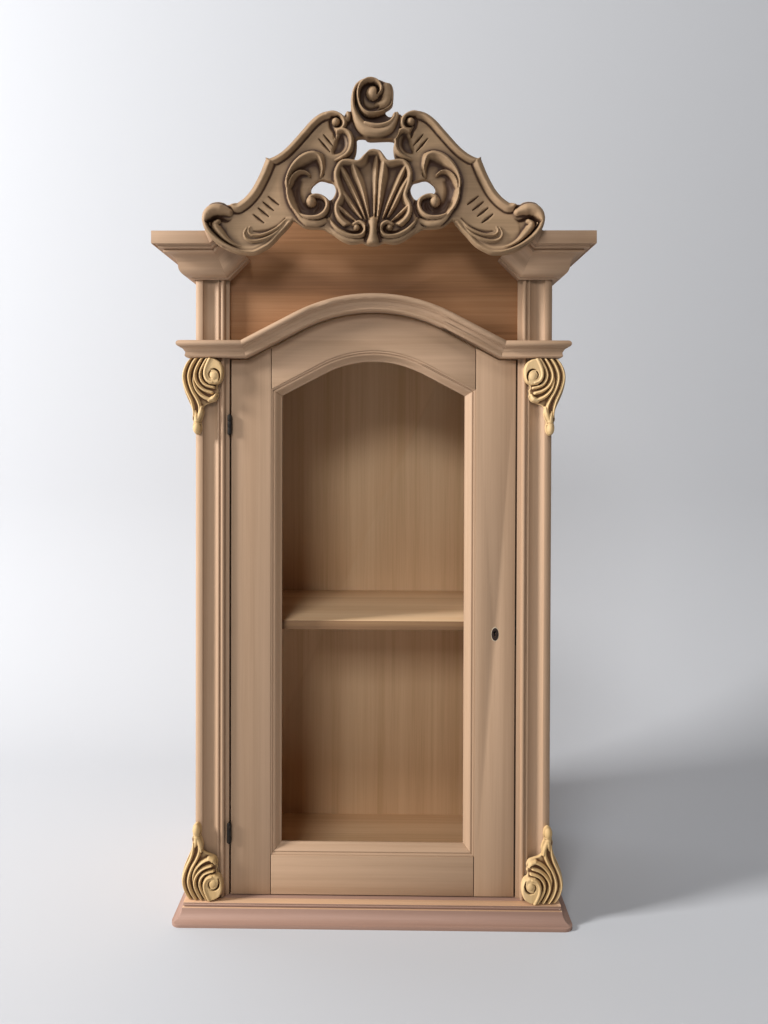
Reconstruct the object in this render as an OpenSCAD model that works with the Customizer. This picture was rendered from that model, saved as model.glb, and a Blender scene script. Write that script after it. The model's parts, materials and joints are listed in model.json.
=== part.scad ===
// Small baroque wall cabinet in bare wood: arched frame door between two
// moulded pilasters, broken cornice with raking ends and a carved shell crest.
// Front faces -Y, up is +Z, the origin is the middle of the footprint.

/* [Case] */
// Clear width between the two pilasters
opening_w = 382; // [340:1:430]
// Width of one pilaster moulding
pilaster_w = 44.8; // [41:0.2:50]
// Thickness of the pilaster moulding
pilaster_t = 12; // [11:0.5:15]
// Depth from the pilaster face to the back edge of the sides
case_d = 258; // [200:1:320]
// Height of the sides, floor to cornice top
case_h = 899; // [880:1:960]
// Thickness of the side panels
side_t = 16; // [14:0.5:20]
// Thickness of the top and bottom boards
board_t = 15; // [12:0.5:18]
// Thickness of the back panel
back_t = 5; // [3:0.5:8]
// Width of the rabbet that takes the back panel
rabbet_w = 8; // [5:0.5:10]
// Top face of the inside floor
floor_z = 22.5; // [20:0.5:24]
// Depth of the door face behind the pilaster face
door_inset = 7; // [6:0.5:8]

/* [Shelf] */
// Top face of the shelf
shelf_z = 388; // [200:1:600]
// Thickness of the shelf
shelf_t = 12; // [9:0.5:18]
// Set-back of the shelf behind the pilaster face
shelf_front = 32; // [32:0.5:60]
// Radius of a shelf pin
shelf_pin_r = 2.5; // [2:0.25:3]
// Length of a shelf pin inside the side panel
shelf_pin_in = 8; // [6:0.5:10]
// Length of a shelf pin under the shelf
shelf_pin_out = 9; // [6:0.5:12]
// Distance of the shelf pins from the front and back of the shelf
shelf_pin_inset = 30; // [20:1:45]
// Side clearance of the shelf
shelf_gap = 0.6; // [0.4:0.1:1.5]

/* [Door] */
// Thickness of the door frame
door_t = 20; // [18:0.5:24]
// Gap beside the door
door_gap = 1.5; // [1.4:0.1:2]
// Gap below the door
door_foot_gap = 1.5; // [1:0.1:3]
// Gap above the arched head of the door
door_head_gap = 2; // [1.8:0.1:3]
// Gap between the back of the door and its stop
door_rest_gap = 0.3; // [0.2:0.1:1]
// Width of a stile
stile_w = 53.5; // [50:0.5:60]
// Width of the bottom rail
bottom_rail_w = 52.5; // [40:0.5:70]
// Width of the arched top rail
top_rail_w = 48; // [42:0.5:52]
// Width of the moulding planted inside the door frame
bead_w = 14; // [12:0.5:16]
// Depth of the moulding inside the door frame
bead_t = 12; // [11:0.5:13]
// Width of the strip that stops the door
stop_w = 24; // [20:1:27]
// Thickness of the strip that stops the door
stop_t = 4; // [2:0.5:4]

/* [Arch] */
// Radius of the lower edge of the arched moulding
arch_r = 203; // [195:1:212]
// Slope of the straight flanks of the arch, in degrees
arch_a = 27.5; // [26:0.5:30]
// Drop from the top of the case to the lower edge at the middle of the arch
apex_drop = 96; // [89:1:109]
// Drop from the top of the case to the lower edge over the pilasters
spring_drop = 157; // [151:1:163]

/* [Mouldings] */
// Height of the arched moulding
mid_h = 22; // [20:0.5:26]
// Projection of the arched moulding
mid_out = 20.5; // [19:0.5:24]
// Height of the plinth moulding
plinth_h = 25.5; // [25:0.5:30]
// Projection of the plinth moulding at its foot
plinth_out = 26; // [24:0.5:32]
// Width of the ledge on the plinth
ledge_w = 12; // [10:0.5:13]
// Height of the cornice
cornice_h = 54; // [52:1:58]
// Projection of the cornice
cornice_out = 45.3; // [44:0.1:50]
// Height of the cornice fascia
fascia_h = 16.3; // [14:0.1:18]
// Length of the raking end along its lower edge
rake_len = 38; // [34:1:42]
// Slope of the raking end, in degrees
rake_a = 45; // [42:1:48]
// Height of the frieze board behind the crest above the cornice top
frieze_rise = 41; // [30:1:44]

/* [Hinges] */
// Height of the lower hinge centre
hinge_low_z = 110; // [80:1:200]
// Drop of the upper hinge centre below the shoulder of the arch
hinge_drop = 88; // [72:1:180]
// Height of a hinge leaf
hinge_h = 25; // [22:0.5:32]
// Width of a hinge leaf on the wood
hinge_leaf_w = 13; // [11:0.5:14]
// Thickness of a hinge leaf
hinge_leaf_t = 0.9; // [0.7:0.1:1.2]
// Radius of the hinge knuckle
knuckle_r = 3; // [2.8:0.1:3.1]
// Radius of the hinge pin
hinge_pin_r = 1.1; // [1:0.05:1.2]
// Running clearance round the hinge pin
hinge_fit = 0.05; // [0.03:0.01:0.08]
// Radius of a hinge screw
screw_r = 0.9; // [0.8:0.1:1]
// Length of a hinge screw
screw_l = 12; // [8:1:16]

/* [Lock] */
// Height of the keyhole centre
key_z = 377; // [300:1:450]
// Width of the oval keyhole inlay
inlay_w = 10.7; // [9:0.1:12]
// Height of the oval keyhole inlay
inlay_h = 19.3; // [17:0.1:22]
// Thickness of the keyhole inlay
inlay_t = 2; // [1.5:0.5:3]
// Width of the lock case along the door
lock_w = 34; // [32:1:38]
// Height of the lock case
lock_h = 32; // [30:1:40]
// Thickness of the lock case
lock_t = 9; // [8.5:0.5:10]
// Thickness of the sheet that the lock is folded from
lock_sheet = 1.2; // [1:0.1:1.4]
// Height of the lock face plate
face_h = 52; // [48:1:60]
// Height of the bolt
bolt_h = 10; // [8:1:12]
// Throw of the bolt
bolt_throw = 7; // [5:0.5:8]

/* [Hanging] */
// Height of the rail that carries the hanging screws
hang_rail_h = 50; // [40:1:60]
// Thickness of the hanging rail
hang_rail_t = 15; // [12:0.5:20]
// Distance between the two hanging holes
hang_spacing = 320; // [200:5:330]
// Radius of a hanging hole
hang_hole_r = 2.75; // [2:0.25:4]

/* [Carving] */
// Height of the carved crest above the cornice top
crest_h = 187.5; // [170:0.5:205]
// Thickness of the carved crest
crest_t = 22; // [18:0.5:26]
// Thickness of the pierced ground of the crest
crest_ground = 9; // [7:0.5:11]
// Overlap of a crest wing past the inner edge of the pilaster
crest_lap = 23.5; // [18:0.5:26]
// Length of a corner carving
leaf_l = 101; // [92:0.5:108]
// Thickness of a corner carving
leaf_t = 12; // [10:0.5:14]
// Thickness of the ground of a corner carving
leaf_ground = 4; // [3:0.5:5]

/* [Hidden] */

// Widths from the middle of the cabinet
half_open = opening_w / 2;
half_case = half_open + pilaster_w;
half_inner = half_case - side_t;
half_door = half_open - door_gap;

// Depths from the pilaster face; the whole part is moved by centre_y at the end
crest_face = -cornice_out - crest_t;
centre_y = -(case_d + crest_face) / 2;
door_back = door_inset + door_t;
frame_back = door_back + door_rest_gap;
back_face = case_d - back_t;
far = 2000;

// Heights
door_foot = plinth_h + door_foot_gap;
cornice_z = case_h - cornice_h;
arch_apex_z = case_h - apex_drop;
arch_spring_z = case_h - spring_drop;
hinge_high_z = arch_spring_z - hinge_drop;
ceiling_z = case_h - board_t;
arch_c = arch_apex_z - arch_r;
door_r = arch_r - door_head_gap;
rail_r = door_r - top_rail_w;
bead_r = rail_r - bead_w;
frieze_cover = 3;
frieze_r = arch_r + frieze_cover;
sight_half = half_door - stile_w;
rail_top = door_foot + bottom_rail_w;

// Front-view line of the arched family at radius r: height over x on the straight flank
function flank_z(r, x) = arch_c + r / cos(arch_a) - x * tan(arch_a);
function flank_x(r, z) = (arch_c + r / cos(arch_a) - z) / tan(arch_a);
bend_x = flank_x(arch_r, arch_spring_z);

// Colours of the bare woods and metals
pine = "burlywood";
ply = "wheat";
beech = "rosybrown";
frieze_wood = "peru";
lime_wood = "navajowhite";
dark_brass = "darkgoldenrod";
iron = "dimgray";

// Points of an arc in a plane, from angle a0 to a1 in n steps
function arc(cx, cy, r, a0, a1, n = 8) =
    [for (i = [0 : n]) let (a = a0 + (a1 - a0) * i / n) [cx + r * cos(a), cy + r * sin(a)]];

// Everything below an arched line of radius r: round in the middle, straight down the flanks
module under_arch(r) {
    tip = [r * sin(arch_a), arch_c + r * cos(arch_a)];
    low = [half_case, flank_z(r, half_case)];
    translate([0, far / 2, 0])
        rotate([90, 0, 0]) {
            translate([0, arch_c, 0])
                cylinder(r = r, h = far, $fn = 180);
            linear_extrude(far)
                polygon([tip, low, [low[0], -1], [-low[0], -1], [-low[0], low[1]], [-tip[0], tip[1]]]);
        }
}

// Everything below the arched line with its level ends over the pilasters
module under_head(r, level) {
    under_arch(r);
    translate([-far / 2, -far / 2, -1])
        cube([far, far, level + 1]);
}

// Smooth curve through hand-set points, as round strokes of a carver's drawing
function knot(p, i) = p[max(0, min(len(p) - 1, i))];
function curve(p, n = 4) = [
    for (i = [0 : len(p) - 2], k = [0 : n - 1])
        let (t = k / n, a = knot(p, i - 1), b = p[i], c = p[i + 1], d = knot(p, i + 2))
            (2 * b + (c - a) * t + (2 * a - 5 * b + 4 * c - d) * t * t
                + (3 * b - a - 3 * c + d) * t * t * t) / 2,
    p[len(p) - 1]
];

// Moulding runs: the profile is drawn as [height or radius, depth]
module run_x(len) {
    translate([len, 0, 0])
        rotate([0, -90, 0])
            linear_extrude(len)
                children();
}
module arch_sweep(flank_len) {
    translate([0, 0, arch_c]) {
        rotate([-90, 0, 0])
            rotate([0, 0, -90 - arch_a])
                rotate_extrude(angle = 2 * arch_a, $fn = 180)
                    children();
        for (s = [-1, 1])
            rotate([0, s * arch_a, 0])
                translate([s > 0 ? 0 : -flank_len, 0, 0])
                    run_x(flank_len)
                        children();
    }
}

// Prism that keeps what lies inside a front-view or plan-view outline
module front_mask(points) {
    translate([0, far / 2, 0])
        rotate([90, 0, 0])
            linear_extrude(far)
                polygon(points);
}
module plan_mask(points) {
    translate([0, 0, -far / 2])
        linear_extrude(far)
            polygon(points);
}

// Profiles, as [projection, height above the foot of the moulding]
mid_roll_r = 4.2;
mid_foot_out = 9;
mid_fillet_h = 3;
function mid_profile(back) = let (roll_z = mid_h - mid_roll_r, roll_o = mid_out - mid_roll_r) concat(
    [[back, 0], [mid_foot_out, 0]],
    arc(mid_foot_out - 0.5, mid_fillet_h, 2.6, -70, 40, 4),
    [[mid_foot_out + 1.4, mid_fillet_h + 4.6]],
    arc(roll_o + 1.2, mid_fillet_h + 3.4, 6.4, 165, 100, 5),
    [[roll_o, roll_z - mid_roll_r]],
    arc(roll_o, roll_z, mid_roll_r, -90, 90, 8),
    [[back, mid_h]]
);

plinth_bead_r = 1.4;
plinth_foot_h = 4.5;
plinth_quirk = 1.2;
function plinth_profile() = let (bead_z = plinth_h - 3.2, scoop_top = plinth_h - 6.4) concat(
    [[0, 0], [plinth_out, 0], [plinth_out, plinth_foot_h]],
    [for (i = [0 : 8]) let (t = i / 8)
        [plinth_out - 1.2 - (plinth_out - ledge_w - 2.4) * sin(90 * t),
         plinth_foot_h + (scoop_top - plinth_foot_h) * (1 - cos(90 * t))]],
    [[ledge_w - plinth_quirk, scoop_top], [ledge_w - plinth_quirk, bead_z - plinth_bead_r]],
    arc(ledge_w - plinth_quirk, bead_z, plinth_bead_r, -80, 80, 6),
    [[ledge_w - plinth_quirk, plinth_h - 1.4], [ledge_w, plinth_h - 1.4], [ledge_w, plinth_h], [0, plinth_h]]
);

cornice_foot_out = 3.5;
cornice_foot_h = 2.2;
ovolo_out = 18;
ovolo_h = 13;
cove_out = 31.5;
fillet_out = 38.5;
soffit_step = 4.2;
function cornice_profile(back) = let (fascia_z = cornice_h - fascia_h, cove_z = fascia_z - 8.2) concat(
    [[back, 0], [cornice_foot_out, 0], [cornice_foot_out, cornice_foot_h],
     [cornice_foot_out + 1.6, cornice_foot_h]],
    [for (i = [1 : 8]) let (a = 90 * i / 8)
        [cornice_foot_out + 1.6 + (ovolo_out - cornice_foot_out - 1.6) * sin(a),
         cornice_foot_h + ovolo_h * (1 - cos(a))]],
    [for (i = [1 : 8]) let (a = 90 * i / 8)
        [ovolo_out + (cove_out - ovolo_out) * (1 - cos(a)),
         cornice_foot_h + ovolo_h + (cove_z - cornice_foot_h - ovolo_h) * sin(a)]],
    [[cove_out + 1.8, cove_z], [cove_out + 1.8, cove_z + 3], [cove_out + 0.6, cove_z + 3],
     [cove_out + 0.6, cove_z + 4.4], [fillet_out, cove_z + 4.4], [fillet_out, fascia_z],
     [cornice_out - soffit_step, fascia_z], [cornice_out - soffit_step, fascia_z + 1.2],
     [cornice_out - 1.8, fascia_z + 1.2], [cornice_out - 1.8, fascia_z], [cornice_out, fascia_z],
     [cornice_out, cornice_h], [back, cornice_h]]
);

// Face of the pilaster, as [distance from its inner edge, depth behind the face]
border_w = 5.5;
pilaster_bead = 5;
cove_from = 14.5;
cove_to = 34;
cove_depth = 5;
cove_lip = 1.5;
round_r = 7.6;
function pilaster_profile() = let (
    half = (cove_to - cove_from) / 2,
    r = (half * half + cove_depth * cove_depth) / (2 * cove_depth),
    swing = asin(half / r)
) concat(
    [[0, pilaster_t], [0, door_inset], [border_w, door_inset]],
    arc(border_w + pilaster_bead / 2, pilaster_bead / 2 + 0.1, pilaster_bead / 2, 180, 360, 8),
    [[border_w + pilaster_bead, 4], [cove_from - 2, 4], [cove_from - 2, cove_lip]],
    arc(cove_from + half, cove_lip + cove_depth - r, r, 90 + swing, 90 - swing, 8),
    [[cove_to, 0]],
    arc(pilaster_w - round_r, round_r, round_r, 270, 360, 6),
    [[pilaster_w, pilaster_t]]
);

// Moulding inside the door frame, as [distance in from the frame edge, depth below the door face]
bead_fillet = 2.7;
bead_quirk = 1.8;
function bead_profile() = concat(
    [[0, bead_t], [0, 1], [bead_fillet, 1], [bead_fillet, 2.6], [bead_fillet + bead_quirk, 2.6],
     [bead_fillet + bead_quirk, 1.6]],
    [for (i = [1 : 8]) let (t = i / 8)
        [bead_fillet + bead_quirk + (bead_w - bead_fillet - bead_quirk) * t,
         1.6 + (bead_t - 4.6) * (1 - cos(180 * t)) / 2]],
    [[bead_w, bead_t]]
);

// Case

module side_panel() {
    difference() {
        translate([half_inner, pilaster_t, 0])
            cube([side_t, case_d - pilaster_t, case_h]);
        translate([half_inner - 1, back_face, -1])
            cube([rabbet_w + 1, back_t + 1, case_h + 2]);
        for (y = shelf_pin_rows)
            translate([half_inner - 1, y, shelf_pin_z])
                rotate([0, 90, 0])
                    cylinder(r = shelf_pin_r, h = shelf_pin_in + 1, $fn = 32);
    }
}

module left_side() {
    color(ply)
        placed()
            mirror([1, 0, 0])
                side_panel();
}

module right_side() {
    color(ply)
        placed()
            side_panel();
}

module top_board() {
    color(ply)
        placed()
            translate([-half_inner, frame_back, ceiling_z])
                cube([2 * half_inner, back_face - frame_back, board_t]);
}

module bottom_board() {
    color(ply)
        placed()
            translate([-half_inner, pilaster_t, floor_z - board_t])
                cube([2 * half_inner, back_face - pilaster_t, board_t]);
}

module back_panel() {
    half_back = half_inner + rabbet_w;
    color(ply)
        placed()
            difference() {
                translate([-half_back, back_face, floor_z - board_t])
                    cube([2 * half_back, back_t, case_h - floor_z + board_t]);
                hanging_holes();
            }
}

module hanging_rail() {
    color(ply)
        placed()
            difference() {
                translate([-half_inner, back_face - hang_rail_t, ceiling_z - hang_rail_h])
                    cube([2 * half_inner, hang_rail_t, hang_rail_h]);
                hanging_holes();
            }
}

module hanging_holes() {
    for (s = [-1, 1])
        translate([s * hang_spacing / 2, case_d + 1, ceiling_z - hang_rail_h / 2])
            rotate([90, 0, 0])
                cylinder(r = hang_hole_r, h = hang_rail_t + back_t + 2, $fn = 32);
}

shelf_back_gap = 1;
shelf_pin_z = shelf_z - shelf_t - shelf_pin_r;
shelf_pin_rows = [shelf_front + shelf_pin_inset, back_face - shelf_back_gap - shelf_pin_inset];
pin_fit = 0.03;

module shelf() {
    half_shelf = half_inner - shelf_gap;
    color(ply)
        placed()
            translate([-half_shelf, shelf_front, shelf_z - shelf_t])
                cube([2 * half_shelf, back_face - shelf_back_gap - shelf_front, shelf_t]);
}

module shelf_pins() {
    color(dark_brass)
        placed()
            for (s = [0, 1], y = shelf_pin_rows)
                mirror([s, 0, 0])
                    translate([half_inner - shelf_pin_out, y, shelf_pin_z])
                        rotate([0, 90, 0])
                            cylinder(r = shelf_pin_r - pin_fit, h = shelf_pin_out + shelf_pin_in - 0.2, $fn = 32);
}

module base_rail() {
    color(pine)
        placed()
            translate([-half_case, 0, 0])
                cube([2 * half_case, pilaster_t, plinth_h]);
}

// Length of the frame stile behind the right pilaster, from height z0 to z1
module frame_stile(z0, z1) {
    translate([half_open, pilaster_t, z0])
        cube([half_inner - half_open, frame_back - pilaster_t, z1 - z0]);
}
frame_top = arch_spring_z + frieze_cover;

module left_frame_stile() {
    color(pine)
        placed()
            difference() {
                mirror([1, 0, 0])
                    frame_stile(floor_z, frame_top);
                hinge_seats(-half_open, -1);
                hinge_screw_holes(-half_open, -1);
            }
}

// The right stile is in two lengths, with the block that holds the strike plate between them
module lower_right_frame_stile() {
    color(pine)
        placed()
            frame_stile(floor_z, key_z - strike_h / 2);
}

module upper_right_frame_stile() {
    color(pine)
        placed()
            frame_stile(key_z + strike_h / 2, frame_top);
}

module strike_block() {
    color(beech)
        placed()
            difference() {
                frame_stile(key_z - strike_h / 2, key_z + strike_h / 2);
                translate([half_open - 1, strike_y, key_z - strike_h])
                    cube([strike_t + 1, strike_w, 2 * strike_h]);
                translate([half_open - 1, bolt_y - bolt_room, key_z - bolt_h / 2 - bolt_room])
                    cube([strike_t + bolt_throw + 3, bolt_t + 2 * bolt_room, bolt_h + 2 * bolt_room]);
            }
}

module frieze_board() {
    shoulder = half_open + cornice_h * tan(rake_a / 2);
    half_top = shoulder - frieze_rise / tan(rake_a);
    top_z = case_h + frieze_rise;
    color(frieze_wood)
        placed()
            difference() {
                translate([0, frame_back, 0])
                    rotate([90, 0, 0])
                        linear_extrude(frame_back - pilaster_t)
                            polygon([[half_inner, arch_spring_z], [half_inner, case_h], [shoulder, case_h],
                                [half_top, top_z], [-half_top, top_z], [-shoulder, case_h],
                                [-half_inner, case_h], [-half_inner, arch_spring_z]]);
                under_head(frieze_r, frame_top);
            }
}

// Pilasters, with the mortise of the hinges cut into the inner border of the left one

module pilaster() {
    translate([half_open, 0, plinth_h])
        linear_extrude(case_h - plinth_h)
            polygon(pilaster_profile());
}

module left_pilaster() {
    color(pine)
        placed()
            difference() {
                mirror([1, 0, 0])
                    pilaster();
                hinge_seats(-half_open, -1);
            }
}

module right_pilaster() {
    color(pine)
        placed()
            pilaster();
}

// Plinth moulding, mitred at the front corners

plinth_miter = [[0, far], [half_case, far], [half_case, 0], [half_case + 2 * plinth_out, -2 * plinth_out],
    [0, -2 * plinth_out]];

// Plan of the plinth foot, its two front corners rounded off
foot_round = 12;
module plinth_plan() {
    r = foot_round;
    x = half_case + plinth_out;
    translate([0, 0, -1])
        linear_extrude(plinth_h + 2)
            polygon(concat([[x, case_d + 1], [-x, case_d + 1]],
                arc(r - x, r - plinth_out, r, 180, 270, 6), arc(x - r, r - plinth_out, r, 270, 360, 6)));
}

module plinth_front() {
    mirrored_miter = [for (i = [4 : -1 : 0]) [-plinth_miter[i][0], plinth_miter[i][1]]];
    color(beech)
        placed()
            intersection() {
                translate([-half_case - plinth_out, 0, 0])
                    run_x(2 * (half_case + plinth_out))
                        polygon([for (p = plinth_profile()) [p[1], -p[0]]]);
                plan_mask(concat(plinth_miter, mirrored_miter));
                plinth_plan();
            }
}

// Side return of a moulding on the right side, from its mitre to the back
module side_return(profile, out, z) {
    intersection() {
        translate([half_case, case_d, z])
            rotate([90, 0, 0])
                linear_extrude(case_d + out + 1)
                    polygon(profile);
        plan_mask([[half_case, 0], [half_case + 2 * out, -2 * out], [half_case + 2 * out, far], [half_case, far]]);
    }
}

module plinth_return() {
    intersection() {
        side_return(plinth_profile(), plinth_out, 0);
        plinth_plan();
    }
}

module left_plinth_return() {
    color(beech)
        placed()
            mirror([1, 0, 0])
                plinth_return();
}

module right_plinth_return() {
    color(beech)
        placed()
            plinth_return();
}

// Arched moulding between the pilasters and its level ends over them

mid_miter = mid_h * tan(arch_a / 2);
mid_reach = 12;

// Points of the mitre line between the arch and a level end, drawn past both edges
function mid_miter_low() = [bend_x - mid_reach * tan(arch_a / 2), arch_spring_z - mid_reach];
function mid_miter_high() = [bend_x + mid_miter + mid_reach * tan(arch_a / 2), arch_spring_z + mid_h + mid_reach];

module arch_moulding() {
    low = mid_miter_low();
    high = mid_miter_high();
    flank_len = (bend_x + mid_miter) / cos(arch_a);
    color(pine)
        placed()
            intersection() {
                arch_sweep(flank_len)
                    polygon([for (p = mid_profile(-pilaster_t)) [arch_r + p[1], -p[0]]]);
                front_mask([low, high, [0, arch_apex_z + 3 * mid_h], [-high[0], high[1]],
                    [-low[0], low[1]], [0, arch_spring_z - mid_reach]]);
            }
}

module level_mid_moulding() {
    low = mid_miter_low();
    high = mid_miter_high();
    difference() {
        intersection() {
            translate([0, 0, arch_spring_z])
                run_x(half_case + mid_out)
                    polygon([for (p = mid_profile(-pilaster_t)) [p[1], -p[0]]]);
            front_mask([low, high, [far, high[1]], [far, low[1]]]);
            plan_mask([[0, far], [half_case, far], [half_case, 0],
                [half_case + 2 * mid_out, -2 * mid_out], [0, -2 * mid_out]]);
        }
        translate([half_open, 0, arch_spring_z - 1])
            cube([far, far, mid_h + 2]);
    }
}

module left_mid_moulding() {
    color(pine)
        placed()
            mirror([1, 0, 0])
                level_mid_moulding();
}

module right_mid_moulding() {
    color(pine)
        placed()
            level_mid_moulding();
}

module left_mid_return() {
    color(pine)
        placed()
            mirror([1, 0, 0])
                side_return(mid_profile(0), mid_out, arch_spring_z);
}

module right_mid_return() {
    color(pine)
        placed()
            side_return(mid_profile(0), mid_out, arch_spring_z);
}

// Cornice: level length over the pilaster, raking end towards the crest, return along the side

rake_reach = 30;
function rake_miter_low() = [half_open - rake_reach * tan(rake_a / 2), cornice_z - rake_reach];
function rake_miter_high() = [half_open + (cornice_h + rake_reach) * tan(rake_a / 2),
    cornice_z + cornice_h + rake_reach];

module level_cornice() {
    low = rake_miter_low();
    high = rake_miter_high();
    intersection() {
        translate([0, 0, cornice_z])
            run_x(half_case + cornice_out)
                polygon([for (p = cornice_profile(0)) [p[1], -p[0]]]);
        front_mask([low, high, [far, high[1]], [far, low[1]]]);
        plan_mask([[0, far], [half_case, far], [half_case, 0],
            [half_case + 2 * cornice_out, -2 * cornice_out], [0, -2 * cornice_out]]);
    }
}

module raking_cornice() {
    low = rake_miter_low();
    high = rake_miter_high();
    difference() {
        intersection() {
            translate([half_open, 0, cornice_z])
                rotate([0, rake_a, 0])
                    translate([-rake_len, 0, 0])
                        run_x(rake_len + cornice_h)
                            polygon([for (p = cornice_profile(-pilaster_t)) [p[1], -p[0]]]);
            front_mask([low, high, [0, high[1] + rake_reach], [0, low[1]]]);
        }
        translate([half_open, 0, cornice_z - 1])
            cube([far, far, 2 * cornice_h]);
    }
}

module left_cornice() {
    color(pine)
        placed()
            mirror([1, 0, 0])
                level_cornice();
}

module right_cornice() {
    color(pine)
        placed()
            level_cornice();
}

module left_cornice_return() {
    color(pine)
        placed()
            mirror([1, 0, 0])
                side_return(cornice_profile(0), cornice_out, cornice_z);
}

module right_cornice_return() {
    color(pine)
        placed()
            side_return(cornice_profile(0), cornice_out, cornice_z);
}

module left_cornice_rake() {
    color(pine)
        placed()
            mirror([1, 0, 0])
                raking_cornice();
}

module right_cornice_rake() {
    color(pine)
        placed()
            raking_cornice();
}

// Carved work is drawn flat, facing +Z, and then stood up against its seat

// Closed solid through a chain of equal rings of points
module loft(rings) {
    n = len(rings);
    m = len(rings[0]);
    polyhedron(
        points = [for (r = rings) each r],
        faces = concat(
            [[for (j = [0 : m - 1]) j]],
            [for (i = [0 : n - 2], j = [0 : m - 1]) let (k = (j + 1) % m)
                [i * m + j, (i + 1) * m + j, (i + 1) * m + k]],
            [for (i = [0 : n - 2], j = [0 : m - 1]) let (k = (j + 1) % m)
                [i * m + j, (i + 1) * m + k, i * m + k]],
            [[for (j = [m - 1 : -1 : 0]) (n - 1) * m + j]]
        )
    );
}

// Value at the share t of a list of evenly spaced stations
function along(v, t) = let (n = len(v) - 1, i = max(0, min(n - 1, floor(t * n))))
    n == 0 ? v[0] : v[i] + (v[i + 1] - v[i]) * (t * n - i);

// Sections of carved strokes, from the left of the path over the top to its right:
// [share of the half-width, share of the rise over the foot]
roll = [[1, 0], [0.8, 0.6], [0, 1], [-0.8, 0.6], [-1, 0]];
bead = [[1, 0], [0.45, 1], [-0.45, 1], [-1, 0]];
cusp = [[1, 0], [0.42, 0.28], [0, 1], [-0.42, 0.28], [-1, 0]];
lip_left = [[0.36, 0], [0.08, 1], [-0.4, 0.34], [-1, 0]];
lip_right = [[1, 0], [0.4, 0.34], [-0.08, 1], [-0.36, 0]];
edge_rim = [[1, 0], [0.62, 1], [0.45, 1], [0.04, 0]];
edge_reed = [[1, 0], [0.84, 0.6], [0.6, 0.35], [0.3, 1], [0.04, 0]];

// Raised stroke along a path, with its half-widths and its crown heights
module stroke(path, widths, tops, foot, section = roll) {
    n = len(path) - 1;
    loft([for (i = [0 : n])
        let (
            t = i / n,
            w = along(widths, t),
            top = along(tops, t),
            d = path[min(n, i + 1)] - path[max(0, i - 1)],
            side = [-d[1], d[0]] / norm(d)
        )
        [for (p = section)
            [path[i][0] + w * p[0] * side[0], path[i][1] + w * p[0] * side[1], foot + (top - foot) * p[1]]]]);
}

// Hollow cut along a path, with a narrow floor and walls that open out above it
open_above = 30;
gouge_splay = 0.45;
module gouge(path, widths, floors) {
    n = len(path) - 1;
    loft([for (i = [0 : n])
        let (
            t = i / n,
            w = along(widths, t),
            low = along(floors, t),
            brim = w / 2 + gouge_splay * (open_above - low),
            d = path[min(n, i + 1)] - path[max(0, i - 1)],
            side = [-d[1], d[0]] / norm(d)
        )
        [for (p = [[-brim, open_above], [-w / 2, low], [w / 2, low], [brim, open_above]])
            [path[i][0] + p[0] * side[0], path[i][1] + p[0] * side[1], p[1]]]]);
}

// Sunk field with a flat floor
module sunk(outline, floor_h) {
    translate([0, 0, floor_h])
        linear_extrude(open_above)
            polygon(outline);
}

// Domed boss: a drum at the foot, closed by a small flat crown
module boss(centre, r, foot, top, from = [0, 0]) {
    hull() {
        translate([centre[0] + from[0], centre[1] + from[1], foot])
            cylinder(r = r, h = (top - foot) / 2, $fn = 12);
        translate([centre[0], centre[1], foot])
            cylinder(r1 = 0.8 * r, r2 = 0.4 * r, h = top - foot, $fn = 8);
    }
}

// Crest, drawn about the middle of the cornice top edge, all for the right half; the drawing is
// then stretched to the width, height and thickness that are set above

draw_half = 214.5;
draw_h = 187.5;
draw_t = 22;
draw_ground = crest_ground * draw_t / crest_t;

wing_foot = [[0, -20.5], [13, -17], [27, -18.5], [43, -12], [57, -3], [76, 1], [100, 11.5]];
wing_under = [[100, 11.5], [104, 5], [117, -9], [131, -23], [148, -31.5], [168, -31], [187, -24], [202, -12.5],
    [211, 0], [213.5, 12], [208, 28], [195, 34], [179, 29.5]];
wing_low = [[179, 29.5], [170, 33], [154, 48], [142, 70], [134.5, 88.5]];
wing_high = [[134.5, 88.5], [125, 90.5], [109, 102], [92, 120], [78, 136], [63, 146], [48, 146.5], [37, 140]];
crown_edge = [[33, 142], [29, 144.5], [17, 143], [15, 147], [24, 155], [25, 172], [15, 182], [-3, 187.5],
    [-21, 180], [-28, 160], [-29, 146], [-33, 145]];
top_hole = [[25, 110], [25, 100], [28, 85.5], [20, 84.5], [12, 93], [2, 98.5], [-9, 92], [-20, 84.5], [-24, 87],
    [-20.5, 105], [-20.5, 112], [-10, 113], [-4, 110]];
side_hole = [[56, 59], [66, 61], [78, 50], [76, 44], [68, 43], [53, 36.5], [47, 50]];

function mirrored(p) = [for (i = [len(p) - 1 : -1 : 0]) [-p[i][0], p[i][1]]];
function crest_outline() = let (right = concat(curve(wing_foot, 2), curve(wing_under, 2), curve(wing_low, 2),
    curve(wing_high, 2))) concat(right, curve(crown_edge, 2), mirrored(right));

shell_lobes = [[0, 94.8], [6.5, 93.6], [14, 84], [20, 81], [30, 82.4], [38, 81.4], [45.8, 68], [45.6, 61], [40.8, 45],
    [40, 40], [44.8, 29], [45.6, 23], [40, 10], [33, 4]];
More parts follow.
